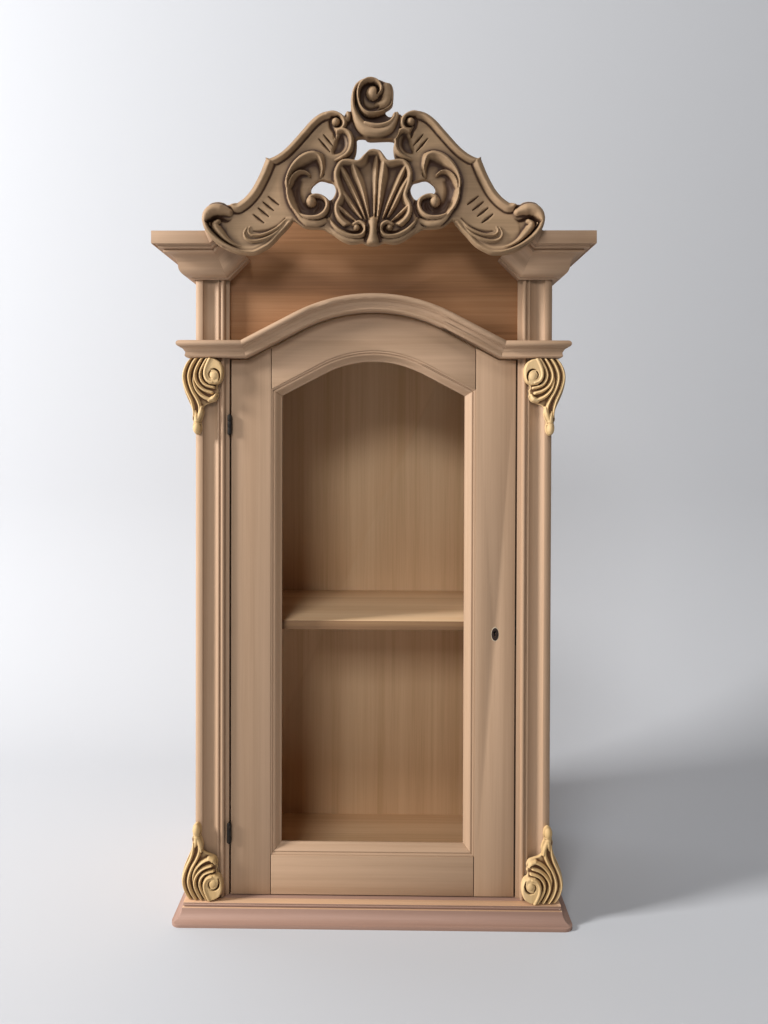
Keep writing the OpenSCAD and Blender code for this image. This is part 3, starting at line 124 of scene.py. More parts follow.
def wood(name, light, mid, dark, lines=0.5, roughness=0.6, bump=0.12, hollow_dust_and_shade=0.0, dust_and_shade_colour=None, rim=None):
    """Bare planed wood: slow shifts of tone over the board, faint lines of early and late wood, fine fibres."""
    made, tree, shader = material(name)
    grain = add(tree, "ShaderNodeAttribute", {"attribute_name": "grain"}).outputs["Vector"]
    # a slow sway, so that no line runs dead straight
    slow = add(tree, "ShaderNodeMapping", {"Scale": (7.0, 7.0, 2.2)}, {"Vector": grain})
    sway = add(tree, "ShaderNodeTexNoise", {"Scale": 1.0, "Detail": 1.0}, {"Vector": slow.outputs["Vector"]})
    moved = add(tree, "ShaderNodeVectorMath", {"operation": "MULTIPLY_ADD", 1: (SWAY, SWAY, 0.0)},
                {0: sway.outputs["Color"], 2: grain}).outputs["Vector"]
    total = None
    for (across, along), share in ((TONE, 1.0 - lines), (GROWTH, lines * GROWTH_SHARE),
                                   (FIBRE, lines * FIBRE_SHARE)):
        drawn = add(tree, "ShaderNodeMapping", {"Scale": (across, across, along)}, {"Vector": moved})
        fine = add(tree, "ShaderNodeTexNoise", {"Scale": 1.0, "Detail": 2.0, "Roughness": 0.55},
                   {"Vector": drawn.outputs["Vector"]}).outputs["Fac"]
        part = add(tree, "ShaderNodeMath", {"operation": "MULTIPLY_ADD", 1: share, 2: 0.0}, {0: fine})
        if total is not None:
            tree.links.new(total, part.inputs[2])
        total = part.outputs["Value"]
    colour = ramp(tree, total, list(zip(TONE_STOPS, (linear(dark), linear(mid), linear(light)))))
    if hollow_dust_and_shade:
        # dust left in the hollows of the carving, darkened further as painted shade
        hollow = add(tree, "ShaderNodeAttribute", {"attribute_name": "hollow"}).outputs["Fac"]
        depth = ramp(tree, hollow, list(zip(DUST_AND_SHADE_STOPS, (grey(0.0), grey(hollow_dust_and_shade)))))
        colour = blend(tree, depth, colour, dust_and_shade_colour, "MULTIPLY")
    if rim:
        # an oval rubbed pale along its outer edge: its middle and its half sizes in metres, and the pale colour
        (mid_x, mid_z), (half_x, half_z), worn = rim
        out = add(tree, "ShaderNodeTexCoord").outputs["Object"]
        for operation, by in (("SUBTRACT", (mid_x, 0, mid_z)), ("MULTIPLY", (1 / half_x, 0, 1 / half_z))):
            out = add(tree, "ShaderNodeVectorMath", {"operation": operation, 1: by}, {0: out}).outputs["Vector"]
        far = add(tree, "ShaderNodeVectorMath", {"operation": "LENGTH"}, {0: out}).outputs["Value"]
        rubbed = ramp(tree, far, list(zip(RIM_STOPS, (grey(0.0), grey(RIM_SHARE)))))
        colour = blend(tree, rubbed, colour, worn)
    surface(tree, shader, colour, fine, (roughness - 0.05, roughness + 0.1), total, bump, GRAIN_DEPTH)
    shader.inputs["Specular IOR Level"].default_value = WOOD_SHINE
    return made


def metal(name, clean, stained, roughness, metallic):
    """Old metal: a clean colour with darker stains in patches and faint scratches."""
    made, tree, shader = material(name)
    here = add(tree, "ShaderNodeTexCoord").outputs["Object"]
    patches = add(tree, "ShaderNodeTexNoise", {"Scale": 180.0, "Detail": 4.0}, {"Vector": here}).outputs["Fac"]
    scratches = add(tree, "ShaderNodeTexNoise", {"Scale": 1400.0, "Detail": 2.0}, {"Vector": here}).outputs["Fac"]
    colour = ramp(tree, patches, list(zip(STAIN_STOPS, (linear(clean), linear(stained)))))
    surface(tree, shader, colour, patches, (roughness - 0.1, roughness + 0.2), scratches, 0.15, SCRATCH_DEPTH)
    shader.inputs["Metallic"].default_value = metallic
    return made


# Each wood: its light, middle and dark tone, then what sets it apart
WOODS = {
    # pilasters, door and mouldings: straight-grained bare softwood, warm tan with faint darker lines
    "bare_pine": ("#b39377", "#ac8d71", "#a38468", {}),
    # case boards: the same wood, a little yellower
    "case_board": ("#ba9774", "#b28f6c", "#a78462", {}),
    # back, shelf and floor board: the same boards painted paler, as painted light inside the case
    "case_board_painted_light": ("#e6c49c", "#dfbb92", "#d3ae84", {}),
    # front edge of the shelf: the same boards painted darker, as painted shade
    "shelf_edge_painted_shade": ("#94724f", "#876547", "#77583c", {}),
    # crest: the same tan, darker, with dust and painted shade in the hollows
    "carved_crest_wood": ("#a18364", "#967a5c", "#896f52", dict(lines=0.4, hollow_dust_and_shade=0.95, bump=0.06, dust_and_shade_colour="#5e412d")),
    # frieze: browner board with its grain across
    "frieze_wood": ("#a1744f", "#946843", "#805736", {}),
    # plinth: pinkish beech
    "beech": ("#a48475", "#9c7c6c", "#927262", dict(lines=0.4)),
    # ledge of the plinth: paler and yellower than the moulded face below it, as painted light on its upward faces
    "beech_ledge_painted_light": ("#d3ae8d", "#cba583", "#bf9875", dict(lines=0.4)),
    # corner carvings: pale yellow limewood, close and even, with dust and painted shade in the hollows
    "carving_limewood": ("#d4b485", "#c9a877", "#bc9b69", dict(lines=0.3, hollow_dust_and_shade=0.95, bump=0.05, dust_and_shade_colour="#63421f")),
    # keyhole inlay: near-black hardwood or horn
    "dark_inlay": ("#2a1a12", "#1f130d", "#140c08",
                   dict(lines=0.4, roughness=0.7, rim=((0.1625, 0.377), (0.0053, 0.0096), "#c9b79b"))),
}
# Each metal: its clean and its stained colour, its roughness and its share of bare metal
METALS = {
    # hinges and pins: brass gone nearly black
    "aged_brass": ("#261e15", "#15100c", 0.5, 0.6),
    # lock: dull iron
    "lock_steel": ("#77746f", "#4a4744", 0.45, 0.9),
}
FINISHES = {name: wood(name, *tones, **ways) for name, (*tones, ways) in WOODS.items()}
FINISHES.update({name: metal(name, *values) for name, values in METALS.items()})
SLOTS = {row["node"]: row["material_slot"] for row in frame["record"]["subparts"]}
BODIES = {node: body for body, nodes in frame["record"]["behaviour"]["bodies"].items() for node in nodes}

INNER_BOARDS = {"back_panel", "shelf", "bottom_board"}
SMALL = {"shelf_pins", "hinge_frame_leaves", "hinge_pins", "frame_hinge_screws", "hinge_door_leaves",
         "door_hinge_screws", "lock_bolt", "strike_plate", "lock_case", "lock_cover", "lock_spring",
         "lock_face_screws", "keyhole_inlay"}

# The way the grain runs in each board: across, from front to back, or at a slope. The rest stand upright.
ACROSS = {"shelf", "top_board", "bottom_board", "hanging_rail", "base_rail", "frieze_board", "plinth_front",
          "arch_moulding", "left_mid_moulding", "right_mid_moulding", "left_cornice", "right_cornice", "crest",
          "top_rail", "bottom_rail", "bottom_door_bead", "arch_door_bead", "strike_block"}
INWARD = {"left_plinth_return", "right_plinth_return", "left_mid_return", "right_mid_return",
          "left_cornice_return", "right_cornice_return"}
SLOPING = {"left_cornice_rake": -45, "right_cornice_rake": 45}


def points_of(mesh):
    """The places of a mesh's points, a row to each."""
    co = np.empty(len(mesh.vertices) * 3)
    mesh.vertices.foreach_get("co", co)
    return co.reshape(-1, 3)


def grain_turn(node):
    """The turn that lays a board's own grain along Z."""
    degrees, axis = SLOPING.get(node, 0), "Y"
    if node in ACROSS:
        degrees = 90
    if node in INWARD:
        degrees, axis = 90, "X"
    return Matrix.Rotation(math.radians(degrees), 3, axis)


def lay_grain(obj, node, seed):
    """Writes each point's place in the tree that the board was cut from."""
    rng = random.Random(seed)
    shift = [rng.uniform(-reach, reach) for reach in (0.05, 0.05, 3)]
    laid = points_of(obj.data) @ np.array(grain_turn(node).transposed()) + np.array(Vector(shift))
    layer = obj.data.attributes.new("grain", "FLOAT_VECTOR", "POINT")
    layer.data.foreach_set("vector", laid.ravel())


def only(obj):
    """Makes one object the active and only selected one."""
    bpy.ops.object.select_all(action="DESELECT")
    obj.select_set(True)
    bpy.context.view_layer.objects.active = obj


# Width of an eased arris on wood and on the small fittings, in mm
ARRIS, SMALL_ARRIS = 0.4, 0.12
# In degrees: an edge from this sharp is eased, a round up to this is shaded smooth, also on the carvings,
# and faces that lie this flat to each other are joined
SHARP, SMOOTH, CARVED_SMOOTH, FLAT = 32, 38, 55, 0.6
# In metres: points this near to each other are one, and a point this near to an edge lies on it
JOINED, NEAR = 2e-6, 2e-5


def finish_edges(obj, width):
    """Takes the sharp arris off, as a few strokes of fine paper do, and smooths the rounded faces."""
    only(obj)
    bevel = obj.modifiers.new("arris", "BEVEL")
    bevel.width = width
    bevel.segments = 2
    bevel.limit_method = "ANGLE"
    bevel.angle_limit = math.radians(SHARP)
    bevel.use_clamp_overlap = True
    bevel.miter_outer = "MITER_ARC"
    bpy.ops.object.modifier_apply(modifier="arris")
    bpy.ops.object.shade_smooth_by_angle(angle=math.radians(SMOOTH))


# How far the normal of a face that looks forward or up leans that way, and the height of the foot in metres
FORWARD, UPWARD, FOOT = -0.3, 0.9, 0.01


def second_finish(obj, finish, picked):
    """Gives the picked faces of a piece a finish of their own."""
    obj.data.materials.append(FINISHES[finish])
    for face in obj.data.polygons:
        face.material_index = int(picked(face))


def place(obj, node, seed):
    """Puts a finished piece in the cabinet in place of its plain node."""
    slot = SLOTS[node]
    obj.data.materials.clear()
    # boards inside the case take the paler colour of painted light
    obj.data.materials.append(FINISHES["case_board_painted_light" if node in INNER_BOARDS else slot])
    # the shelf's forward faces take the painted shade of its front edge
    if node == "shelf":
        second_finish(obj, "shelf_edge_painted_shade", lambda face: face.normal.y < FORWARD)
    # the plinth's upward faces above its foot take the painted light of the ledge
    if "plinth" in node:
        second_finish(obj, "beech_ledge_painted_light", lambda face: face.normal.z > UPWARD and face.center.z > FOOT)
    lay_grain(obj, node, seed)
    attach(obj, BODIES[node])
    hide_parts(node)


# Edges planed a little so that the gap round the door and the joints of its frame read:
# where the edge lies across, how far it moves, in mm. A rail is eased at its face only, where drying has opened it.
PLANED = {"hinge_stile": [(-189.5, 1.1)], "lock_stile": [(189.5, -1.0)],
          "bottom_rail": [(-136.0, 1.0), (136.0, -1.0)], "top_rail": [(-136.0, 1.0), (136.0, -1.0)]}
DOOR_FACE = -88.35


def dressed(node, seed):
    """A worked copy of a plain node: planed and joined faces, eased arrises, smooth rounds."""
    obj = frame["nodes"][node].copy()
    obj.data = obj.data.copy()
    for key in list(obj.keys()):
        del obj[key]
    obj.name = node + "_wood" if "wood" not in SLOTS[node] else node + "_piece"
    obj.parent = None
    obj.matrix_world = Matrix.Identity(4)
    scene.collection.objects.link(obj)
    for at, by in PLANED.get(node, []):
        for vertex in obj.data.vertices:
            at_face = abs(vertex.co.y - DOOR_FACE * MM) < NEAR or "rail" not in node
            if at_face and abs(vertex.co.x - at * MM) < NEAR:
                vertex.co.x += by * MM
    only(obj)
    bpy.ops.object.mode_set(mode="EDIT")
    bpy.ops.mesh.select_all(action="SELECT")
    bpy.ops.mesh.remove_doubles(threshold=JOINED)
    bpy.ops.mesh.dissolve_limited(angle_limit=math.radians(FLAT))
    bpy.ops.mesh.normals_make_consistent(inside=False)
    bpy.ops.object.mode_set(mode="OBJECT")
    finish_edges(obj, (SMALL_ARRIS if node in SMALL else ARRIS) * MM)
    place(obj, node, seed)


# Carving

def flow(points, steps=6, closed=False):
    """A smooth line through given points."""
    p = np.array(points, float)
    n = len(p)
    out = []
    for i in range(n if closed else n - 1):
        a, b, c, d = (p[k % n] if closed else p[min(max(k, 0), n - 1)] for k in range(i - 1, i + 3))
        for step in range(steps):
            t = step / steps
            out.append((2 * b + (c - a) * t + (2 * a - 5 * b + 4 * c - d) * t * t
                        + (3 * b - a - 3 * c + d) * t ** 3) / 2)
    if not closed:
        out.append(p[-1])
    return np.array(out)


# A distance that no point is from a line, and a length that is as good as none
FAR, SHORT = 1e9, 1e-9


def near(line, x, z, closed=False):
    """Distance from each point to a line, and how far along the line, 0 to 1, the closest place lies."""
    a = line if closed else line[:-1]
    b = np.roll(line, -1, 0) if closed else line[1:]
    seg = b - a
    size = np.hypot(*seg.T)
    start = np.concatenate([[0], np.cumsum(size)])[:-1]
    total = size.sum()
    best = np.full(x.shape, FAR)
    along = np.zeros(x.shape)
    for (ax, az), (sx, sz), l, s in zip(a, seg, size, start):
        if l < SHORT:
            continue
        t = np.clip(((x - ax) * sx + (z - az) * sz) / (l * l), 0, 1)
        d = np.hypot(x - ax - t * sx, z - az - t * sz)
        hit = d < best
        best[hit] = d[hit]
        along[hit] = (s + t[hit] * l) / total
    return best, along


def inside(line, x, z):
    """Which points a closed line holds."""
    ax, az = line.T
    bx, bz = np.roll(line, -1, 0).T
    odd = np.zeros(x.shape, bool)
    for x0, z0, x1, z1 in zip(ax, az, bx, bz):
        if z0 == z1:
            continue
        odd ^= ((z0 > z) != (z1 > z)) & (x < (x1 - x0) * (z - z0) / (z1 - z0) + x0)
    return odd


def ease(t):
    """A soft rise from 0 to 1."""
    t = np.clip(t, 0, 1)
    return t * t * (3 - 2 * t)


def spread(t, values):
    """Values set evenly along a line, read at the places t of 0 to 1."""
    values = np.atleast_1d(values)
    return np.interp(t, np.linspace(0, 1, len(values)), values)


class Relief:
    """A carved surface over a net of points: x and z in the front view, h the height over the back, in mm."""

    def __init__(self, x, z, ground):
        self.x, self.z = x, z
        self.h = np.full(x.shape, float(ground))

    def pick(self, line, margin):
        """The points in the box of a line, with a margin round it."""
        lo, hi = line.min(0) - margin, line.max(0) + margin
        return (self.x > lo[0]) & (self.x < hi[0]) & (self.z > lo[1]) & (self.z < hi[1])

    def stroke(self, points, half, top, foot, shape, steps=6, within=True):
        """A raised roll: half its width and its top along the line, and the height of its foot.
        Shape 2 and more is round, below 0 is a sharp crest with hollow sides."""
        line = flow(points, steps)
        sel = self.pick(line, np.max(half) + 1) & within
        d, t = near(line, self.x[sel], self.z[sel])
        w, peak = spread(t, half), spread(t, top)
        r = np.clip(d / w, 0, 1)
        if shape > 0:
            rise = 1 - r ** shape
        else:
            soft = 0.12
            r = np.clip((np.sqrt(r * r + soft * soft) - soft) / (1 - soft), 0, 1)
            rise = (1 - r) ** -shape
        here = self.h[sel]
        self.h[sel] = np.where(d < w, np.maximum(here, foot + (peak - foot) * rise), here)

    def gouge(self, points, half, floor=None, depth=None):
        """A hollow cut along a line, round in section: down to a floor, or by a depth."""
        line = flow(points)
        sel = self.pick(line, np.max(half) + 1)
        d, t = near(line, self.x[sel], self.z[sel])
        r = np.clip(d / spread(t, half), 0, 1)
        here = self.h[sel]
        low = here - depth if depth is not None else spread(t, floor)
        cut = low + (np.maximum(here, low) - low) * ease(r)
        self.h[sel] = np.where(r < 1, np.minimum(here, cut), here)

    def field(self, points, level, edge, smooth=True):
        """Sets a closed field to a level, with its edge rounded over a width down to what lies round it."""
        line = flow(points, 5, True) if smooth else np.array(points, float)
        sel = self.pick(line, 1)
        x, z = self.x[sel], self.z[sel]
        hold = inside(line, x, z)
        here = self.h[sel]
        k = np.clip(near(line, x, z, True)[0] / edge, 0, 1)
        round_off = np.sqrt(1 - (1 - k) ** 2) if level > here.mean() else ease(k)
        self.h[sel] = np.where(hold, here + (level - here) * round_off, here)
        full = np.zeros(self.x.shape, bool)
        full[sel] = hold
        return full

    def knob(self, cx, cz, rx, rz, top, foot):
        """An oval dome."""
        r2 = ((self.x - cx) / rx) ** 2 + ((self.z - cz) / rz) ** 2
        dome = foot + (top - foot) * np.sqrt(np.clip(1 - r2, 0, 1))
        self.h = np.where(r2 < 1, np.maximum(self.h, dome), self.h)


# The crest, drawn in mm about the middle of the cornice top edge. The four lengths of its right edge meet in cusps.

BELLY_EDGE = [(0, -20.5), (6, -20), (13, -17), (18, -17.5), (27, -18.5), (36, -16), (43, -12), (50, -7), (57, -3),
              (62, 0), (70, .5), (80, 1), (88, 3), (95, 8), (100, 11.5)]
END_EDGE = [(104, 5), (110, -2), (117, -9), (124, -17), (131, -23), (140, -28), (148, -31.5), (157, -32),
            (168, -31), (178, -28), (187, -24), (195, -19), (202, -12.5), (207, -6), (211, 0), (213.5, 9),
            (213.5, 15), (212, 22), (208, 28), (203, 32.5), (195, 34), (188, 33), (183, 30.5), (179, 29.5)]
LOWER_EDGE = [(170, 33), (162, 39), (154, 48), (148, 58), (142, 70), (137.5, 81), (134.5, 88.5)]
UPPER_EDGE = [(130, 88.5), (125, 90.5), (118, 94.5), (111, 100), (103, 108), (95, 117), (87, 126), (80, 134),
              (72, 141), (64, 145.5), (55, 147.5), (48, 146.5), (42, 143), (37, 140)]
CROWN = [(33, 142), (29, 144.5), (25.5, 142.5), (21, 141), (17, 143), (15, 147), (20, 150.5), (24, 155), (25, 163),
         (25, 172), (22, 180), (15, 182), (8, 185), (-3, 187.5), (-13, 186), (-21, 180), (-26, 171), (-28, 160),
         (-28, 150), (-29, 146), (-33, 145)]
TOP_HOLE = [(25, 110), (25, 100), (26, 92), (28, 85.5), (24, 85), (20, 84.5), (16, 87), (12, 93), (8, 97), (2, 98.5),
            (-4, 97), (-9, 92), (-14, 88), (-20, 84.5), (-24, 87), (-21.5, 95), (-20.5, 105), (-20.5, 112),
            (-16, 113.5), (-10, 113), (-4, 110)]
SIDE_HOLE = [(56, 59), (66, 61), (74, 56), (78, 50), (76, 44), (68, 43), (60, 40), (53, 36.5), (48, 43), (47, 50),
             (50, 57)]
# Points of the drawn edge to each of the given ones
EDGE_STEPS = 4


def mirrored(line):
    """A line turned over left to right."""
    return np.array(line) * [-1, 1]


def outline():
    """The whole edge of the crest: right half, crown, left half."""
    half = np.concatenate([flow(p, EDGE_STEPS) for p in (BELLY_EDGE, END_EDGE, LOWER_EDGE, UPPER_EDGE)])
    return np.concatenate([half, flow(CROWN, EDGE_STEPS), mirrored(half[::-1])[:-1]])


# The ground of the wing, and the sections of its rims and its lowest bead: distances in from the edge, heights there
WING_GROUND = 9.0
UPPER_RIM = ([0, 2.5, 5.5, 7, 10, 11.2, 12.2, 13.4], [8, 11.5, 14.2, 14.2, 10.2, 7.4, 7.6, 9])
LOWER_RIM = ([0, 2.5, 6.5, 8, 12.6, 13.6, 14.6, 16], [8, 11.5, 14.4, 14.4, 9.8, 7.4, 7.6, 9])
LOW_BEAD = ([0, 1.0, 2.4, 4.0, 5.2, 6.0, 7.0, 8.2, 10.5], [8, 10.4, 12.0, 10.8, 9.6, 9.4, 10.0, 9.8, 9])
LOW_BEAD_REACH = 11.5
# The two rims meet in a mitre: the point it runs from, and its slope
MITRE_CUSP, MITRE_SLOPE = (134.5, 88), 0.62


def carve_wing(r):
    """Flat ground of both wings with its double rim, the short gouges and the low leaf."""
    du = near(flow(UPPER_EDGE, EDGE_STEPS), r.x, r.z)[0]
    dl = near(flow(LOWER_EDGE, EDGE_STEPS), r.x, r.z)[0]
    upper = (r.z - MITRE_CUSP[1]) - MITRE_SLOPE * (r.x - MITRE_CUSP[0]) > 0
    prof = np.where(upper, np.interp(du, *UPPER_RIM), np.interp(dl, *LOWER_RIM))
    r.h = np.where(np.where(upper, du < UPPER_RIM[0][-1], dl < LOWER_RIM[0][-1]), prof, r.h)
    d = near(flow(END_EDGE[:11], EDGE_STEPS), r.x, r.z)[0]
    r.h = np.where(d < LOW_BEAD_REACH, np.maximum(r.h, np.interp(d, *LOW_BEAD)), r.h)
    # four short cuts of a veiner across the ground, and three more near the tip
    for cx, cz in ((124.5, 35), (131, 28), (137, 20.5), (143, 12.5)):
        r.gouge([(cx - 6.5, cz - 5), (cx, cz), (cx + 6.5, cz + 5.2)], [1.2, 2.9, 1.2], depth=3.0)
    for (ax, az), (bx, bz) in (((50, 103), (62, 117)), ((54, 96), (68, 112)), ((47, 113), (50, 121))):
        r.gouge([(ax, az), ((ax + bx) / 2, (az + bz) / 2), (bx, bz)], [0.8, 2.4, 0.8], depth=3.0)
    # leaf
    r.gouge([(110, 13), (117, 4), (128, -2), (140, -4), (150, -3)], [1, 3, 4, 4, 1], depth=1.6)
    r.stroke([(108, 13), (118, 2), (130, -5), (142, -8.5), (152, -8), (156, -3), (154, 2)],
             [1, 2.2, 2.4, 2.4, 2, 1.2], [10, 12.5, 13, 13, 12.5, 10.5], 8.6, 1.6)
    r.stroke([(112, 5), (122, -6), (135, -13), (149, -16), (158, -13), (161, -6), (158, 1)],
             [1, 2.2, 2.6, 2.6, 2.2, 1.2], [10, 12.5, 13.5, 13.5, 13, 10.5], 8.6, 1.6)


def carve_end(r):
    """Rolled-up end of the wing: the edge roll swells to a ball that closes over a tongue."""
    r.field([(183, -26), (192, -21), (202, -13), (211, 0), (214, 12), (212, 24), (203, 33), (192, 34.5),
             (183, 31), (176, 27), (174, 20), (178, 12), (181, 0), (181, -12)], 8.5, 3)
    r.stroke([(150, -29.5), (160, -29), (171, -26.5), (182, -22), (192, -16), (201.5, -8), (207.5, 2),
              (208.5, 12), (204, 20), (196, 23.5), (187, 22.5), (180, 20)],
             [1.2, 1.6, 2.1, 2.6, 3.2, 4.0, 5.0, 6.2, 8, 9, 8.4, 5.5],
             [11.5, 13, 14.5, 16, 17.5, 18.5, 19.5, 20.5, 21.5, 21.5, 20.5, 16], 8, 2.2)
    r.gouge([(207, 7), (200, 11.5), (191, 11.5), (183, 9.5), (177, 12)], [2, 3, 3.4, 3, 1.5],
            [5.5, 4.5, 4.5, 5.5, 8.5])
    r.stroke([(160, -23.5), (172, -20.5), (181.5, -15), (189, -7.5), (195, -0.5), (197, 5), (193.5, 8.5)],
             [1.4, 2.6, 3.8, 5.2, 6.6, 7.2, 4.2], [9.5, 11.5, 13.5, 15.2, 16.5, 17, 15], 6, 2.0)
    r.gouge([(168, -24.5), (180, -19.5), (190, -13), (199, -4.5), (205, 3), (206, 8)],
            [0.8, 1.2, 1.5, 1.7, 1.8, 1.6], [9.5, 9, 8.5, 7.5, 6.5, 6])


# The upper leaf of the scroll: its crest runs from the point beside the shell round the whole back of the scroll
LEAF_CREST = [(65, 65), (63.2, 73), (64.2, 82), (68, 89.5), (77, 91.6), (88.5, 86.6), (97.5, 78), (104, 68),
              (107.2, 57), (106.4, 47), (105.4, 38), (101.8, 28), (95.6, 19.5), (88, 10.8)]
LEAF_CREST_TOPS = [12, 15, 18, 19.5, 20, 20.5, 21, 21, 20.5, 20, 19.5, 18.5, 17, 14]
# The lower leaf: its tip turns in under the upper one
TIP_CREST = [(79, 66), (84, 69.8), (91, 70), (98, 65.5), (102.8, 58), (104.6, 49)]
TIP_CREST_TOPS = [13.5, 16.5, 18.5, 19, 19, 19]


def carve_scroll(r):
    """C-scroll that stands proud of the wing: two hollow leaves with thin crests that close in a rolled eye."""
    held = r.field([(62, 92.5), (75, 95), (86, 92.5), (95, 86), (102, 77.5), (107, 67), (110, 57), (108.5, 48),
                    (107.5, 38), (104, 28), (98, 19), (91, 9), (82, 2), (70, 1), (60, 4), (55, 12), (51.5, 20),
                    (50.5, 29), (53, 36.5), (60, 40), (68, 43), (76, 44), (78, 50), (74, 56), (66, 61), (61, 66),
                    (60, 74), (60, 84)], 6.5, 0.8)
    # round belly below the eye
    r.stroke([(101, 22), (93, 14), (83, 8), (71, 6.5), (60, 10)], [5, 7, 8, 7, 5], [12, 14, 14.5, 13.5, 11],
             6.5, 2, within=held)
    # each leaf: its hollow side first, then the thin roll on its crest
    r.stroke(LEAF_CREST, [3, 6, 9, 12, 13, 13, 12, 9, 7, 8, 9, 9, 7, 4], LEAF_CREST_TOPS, 5.5, -1.5, within=held)
    r.stroke(LEAF_CREST, [1.2, 1.5, 1.7] + [1.8] * 9 + [1.6, 1.2], LEAF_CREST_TOPS, 10, 2.2, within=held)
    r.stroke(TIP_CREST, [2, 4, 6, 7, 7, 4], TIP_CREST_TOPS, 5.5, -1.5, within=held)
    r.stroke(TIP_CREST, [1.2, 1.6, 1.8, 1.9, 1.9, 1.6], TIP_CREST_TOPS, 10, 2.2, within=held)
    # hollow of the leaf round the eye
    r.gouge([(91, 58), (93.5, 47), (91.5, 36), (86, 27), (77, 22)], [5, 6.5, 7, 6, 4], [5, 3.6, 3.4, 4, 5.5])
    # roll that rises below the eye, passes over it and ends in a ball
    r.stroke([(96, 21), (88, 15.5), (78, 13), (68, 14.2), (60.5, 19.5), (57, 27.5), (58.5, 35), (64.5, 39.6),
              (71.5, 40.6), (77.5, 38)], [1.6, 3, 4, 4.2, 4.2, 3.9, 3.6, 3.4, 3.6, 4.5],
             [13.5, 16.5, 18, 18.5, 18.5, 18, 17.5, 17, 17.5, 18.5], 6, 2.1, within=held)
    r.knob(77.2, 33.4, 6.8, 7.2, 19.5, 5)
    r.gouge([(70.8, 36.4), (67, 31.5), (67.6, 25.5), (72.5, 21.5)], [1.4, 2.8, 3.0, 2.2], [8, 5, 4.5, 5.5])


# The right half of the shell's edge, and of the rolled rim just inside it
LOBES = [(0, 98.5), (8, 96.5), (12.5, 92), (15.5, 87.5), (20, 84.5), (25, 85), (31, 85.8), (38, 85), (43.5, 81.5),
         (47, 76), (49, 69), (49, 61.5), (47, 54), (44, 47), (42.5, 40), (44.5, 35.5), (47.8, 30), (48.8, 24),
         (48, 17), (45, 10), (38, 3), (27, -2), (12, -4), (0, -4)]
RIM = [(-1, 94.8), (7, 93.5), (10.5, 89.5), (14, 84), (20, 81), (30, 82.4), (38, 81.4), (43, 75.5), (45.8, 68),
       (45.6, 61), (43.6, 53), (40.8, 45), (40, 40), (41.8, 35), (44.8, 29), (45.6, 23), (44.5, 17), (40, 10),
       (33, 4)]
RIM_TOPS = [19, 19, 18.5, 18.5, 18, 17.5, 16.5]
# The dish inside them: the height of its floor, how much it rises toward the edge, and how far from the edge.
# The edge itself stands at the height of the lip and falls off steeply from there, in mm to each mm.
DISH_FLOOR, DISH_RISE, DISH_REACH = 6.4, 3.5, 22
LIP, LIP_FALL = 13, 6
# The ribs between the flutes: each with its line, its half width and its height from the knob outwards
RIBS = [
    ([(1, 8), (1.8, 30), (3, 60), (4.5, 90)], [1.5, 3.5, 6, 7], [15, 12.2, 11.4, 13]),
    ([(5, 8), (8, 32), (10.5, 56), (13, 74), (14, 88)], [1.5, 4.5, 7, 9, 10], [15.5, 14.5, 14.5, 15, 16.5]),
    ([(12, 12), (20, 32), (29, 52), (40, 76)], [1.5, 5, 6.5, 7], [15.5, 14.5, 14.5, 15.5]),
    ([(18.5, 14), (28, 32), (37.5, 50), (46, 65)], [1.5, 5.5, 8, 6], [15, 15.5, 17, 16.5]),
    ([(23, 9), (35, 19), (46, 30)], [1.5, 4.5, 5], [14.5, 15.5, 15.5]),
    ([(27, 2), (37, 9), (45.5, 19)], [1.5, 5, 5], [14, 16, 15.5]),
    ([(-4, 8), (-9, 30), (-14, 50), (-21, 68), (-26, 82)], [1.5, 4, 6, 8, 9], [15.5, 13.5, 13, 13.5, 15.5]),
    ([(-9.5, 11), (-16, 28), (-26.5, 50), (-40, 76)], [1.5, 4.5, 6, 8], [15.5, 14, 13, 14.5]),
    ([(-14, 12), (-25, 27), (-36, 42), (-44, 56)], [1.5, 4.5, 6, 6], [15, 14, 13.5, 14.5]),
    ([(-21, 9), (-33, 18), (-45, 29)], [1.5, 4.5, 5], [14.5, 14.5, 15]),
    ([(-26, 3), (-37, 9), (-45, 18)], [1.5, 4.5, 5], [14, 14.5, 15]),
]


def carve_shell(r):
    """Scallop shell: a hollow dish with a rolled rim and cusped flutes that fan out from the knob."""
    half = flow(LOBES, 5)
    full = np.concatenate([half, mirrored(half)[::-1][1:-1]])
    held = r.field(full, LIP, 2.0, smooth=False)
    d = near(full, r.x, r.z, True)[0]
    dish = DISH_FLOOR + DISH_RISE * (1 - ease(d / DISH_REACH))
    r.h = np.where(held & (d > 1.0), np.minimum(r.h, np.maximum(dish, LIP - LIP_FALL * (d - 1))), r.h)
    for s in (1, -1):
        rim = [(s * x, z) for x, z in RIM]
        r.stroke(rim, 9, RIM_TOPS, 7.5, -1.8, within=held)
        r.stroke(rim, [3.2, 3.2, 3.4, 3.4, 3.2, 2.8, 2.4], RIM_TOPS, 12, 2.4, within=held)
    for path, width, tops in RIBS:
        r.stroke(path, width, tops, 6.2, -1.35, within=held)


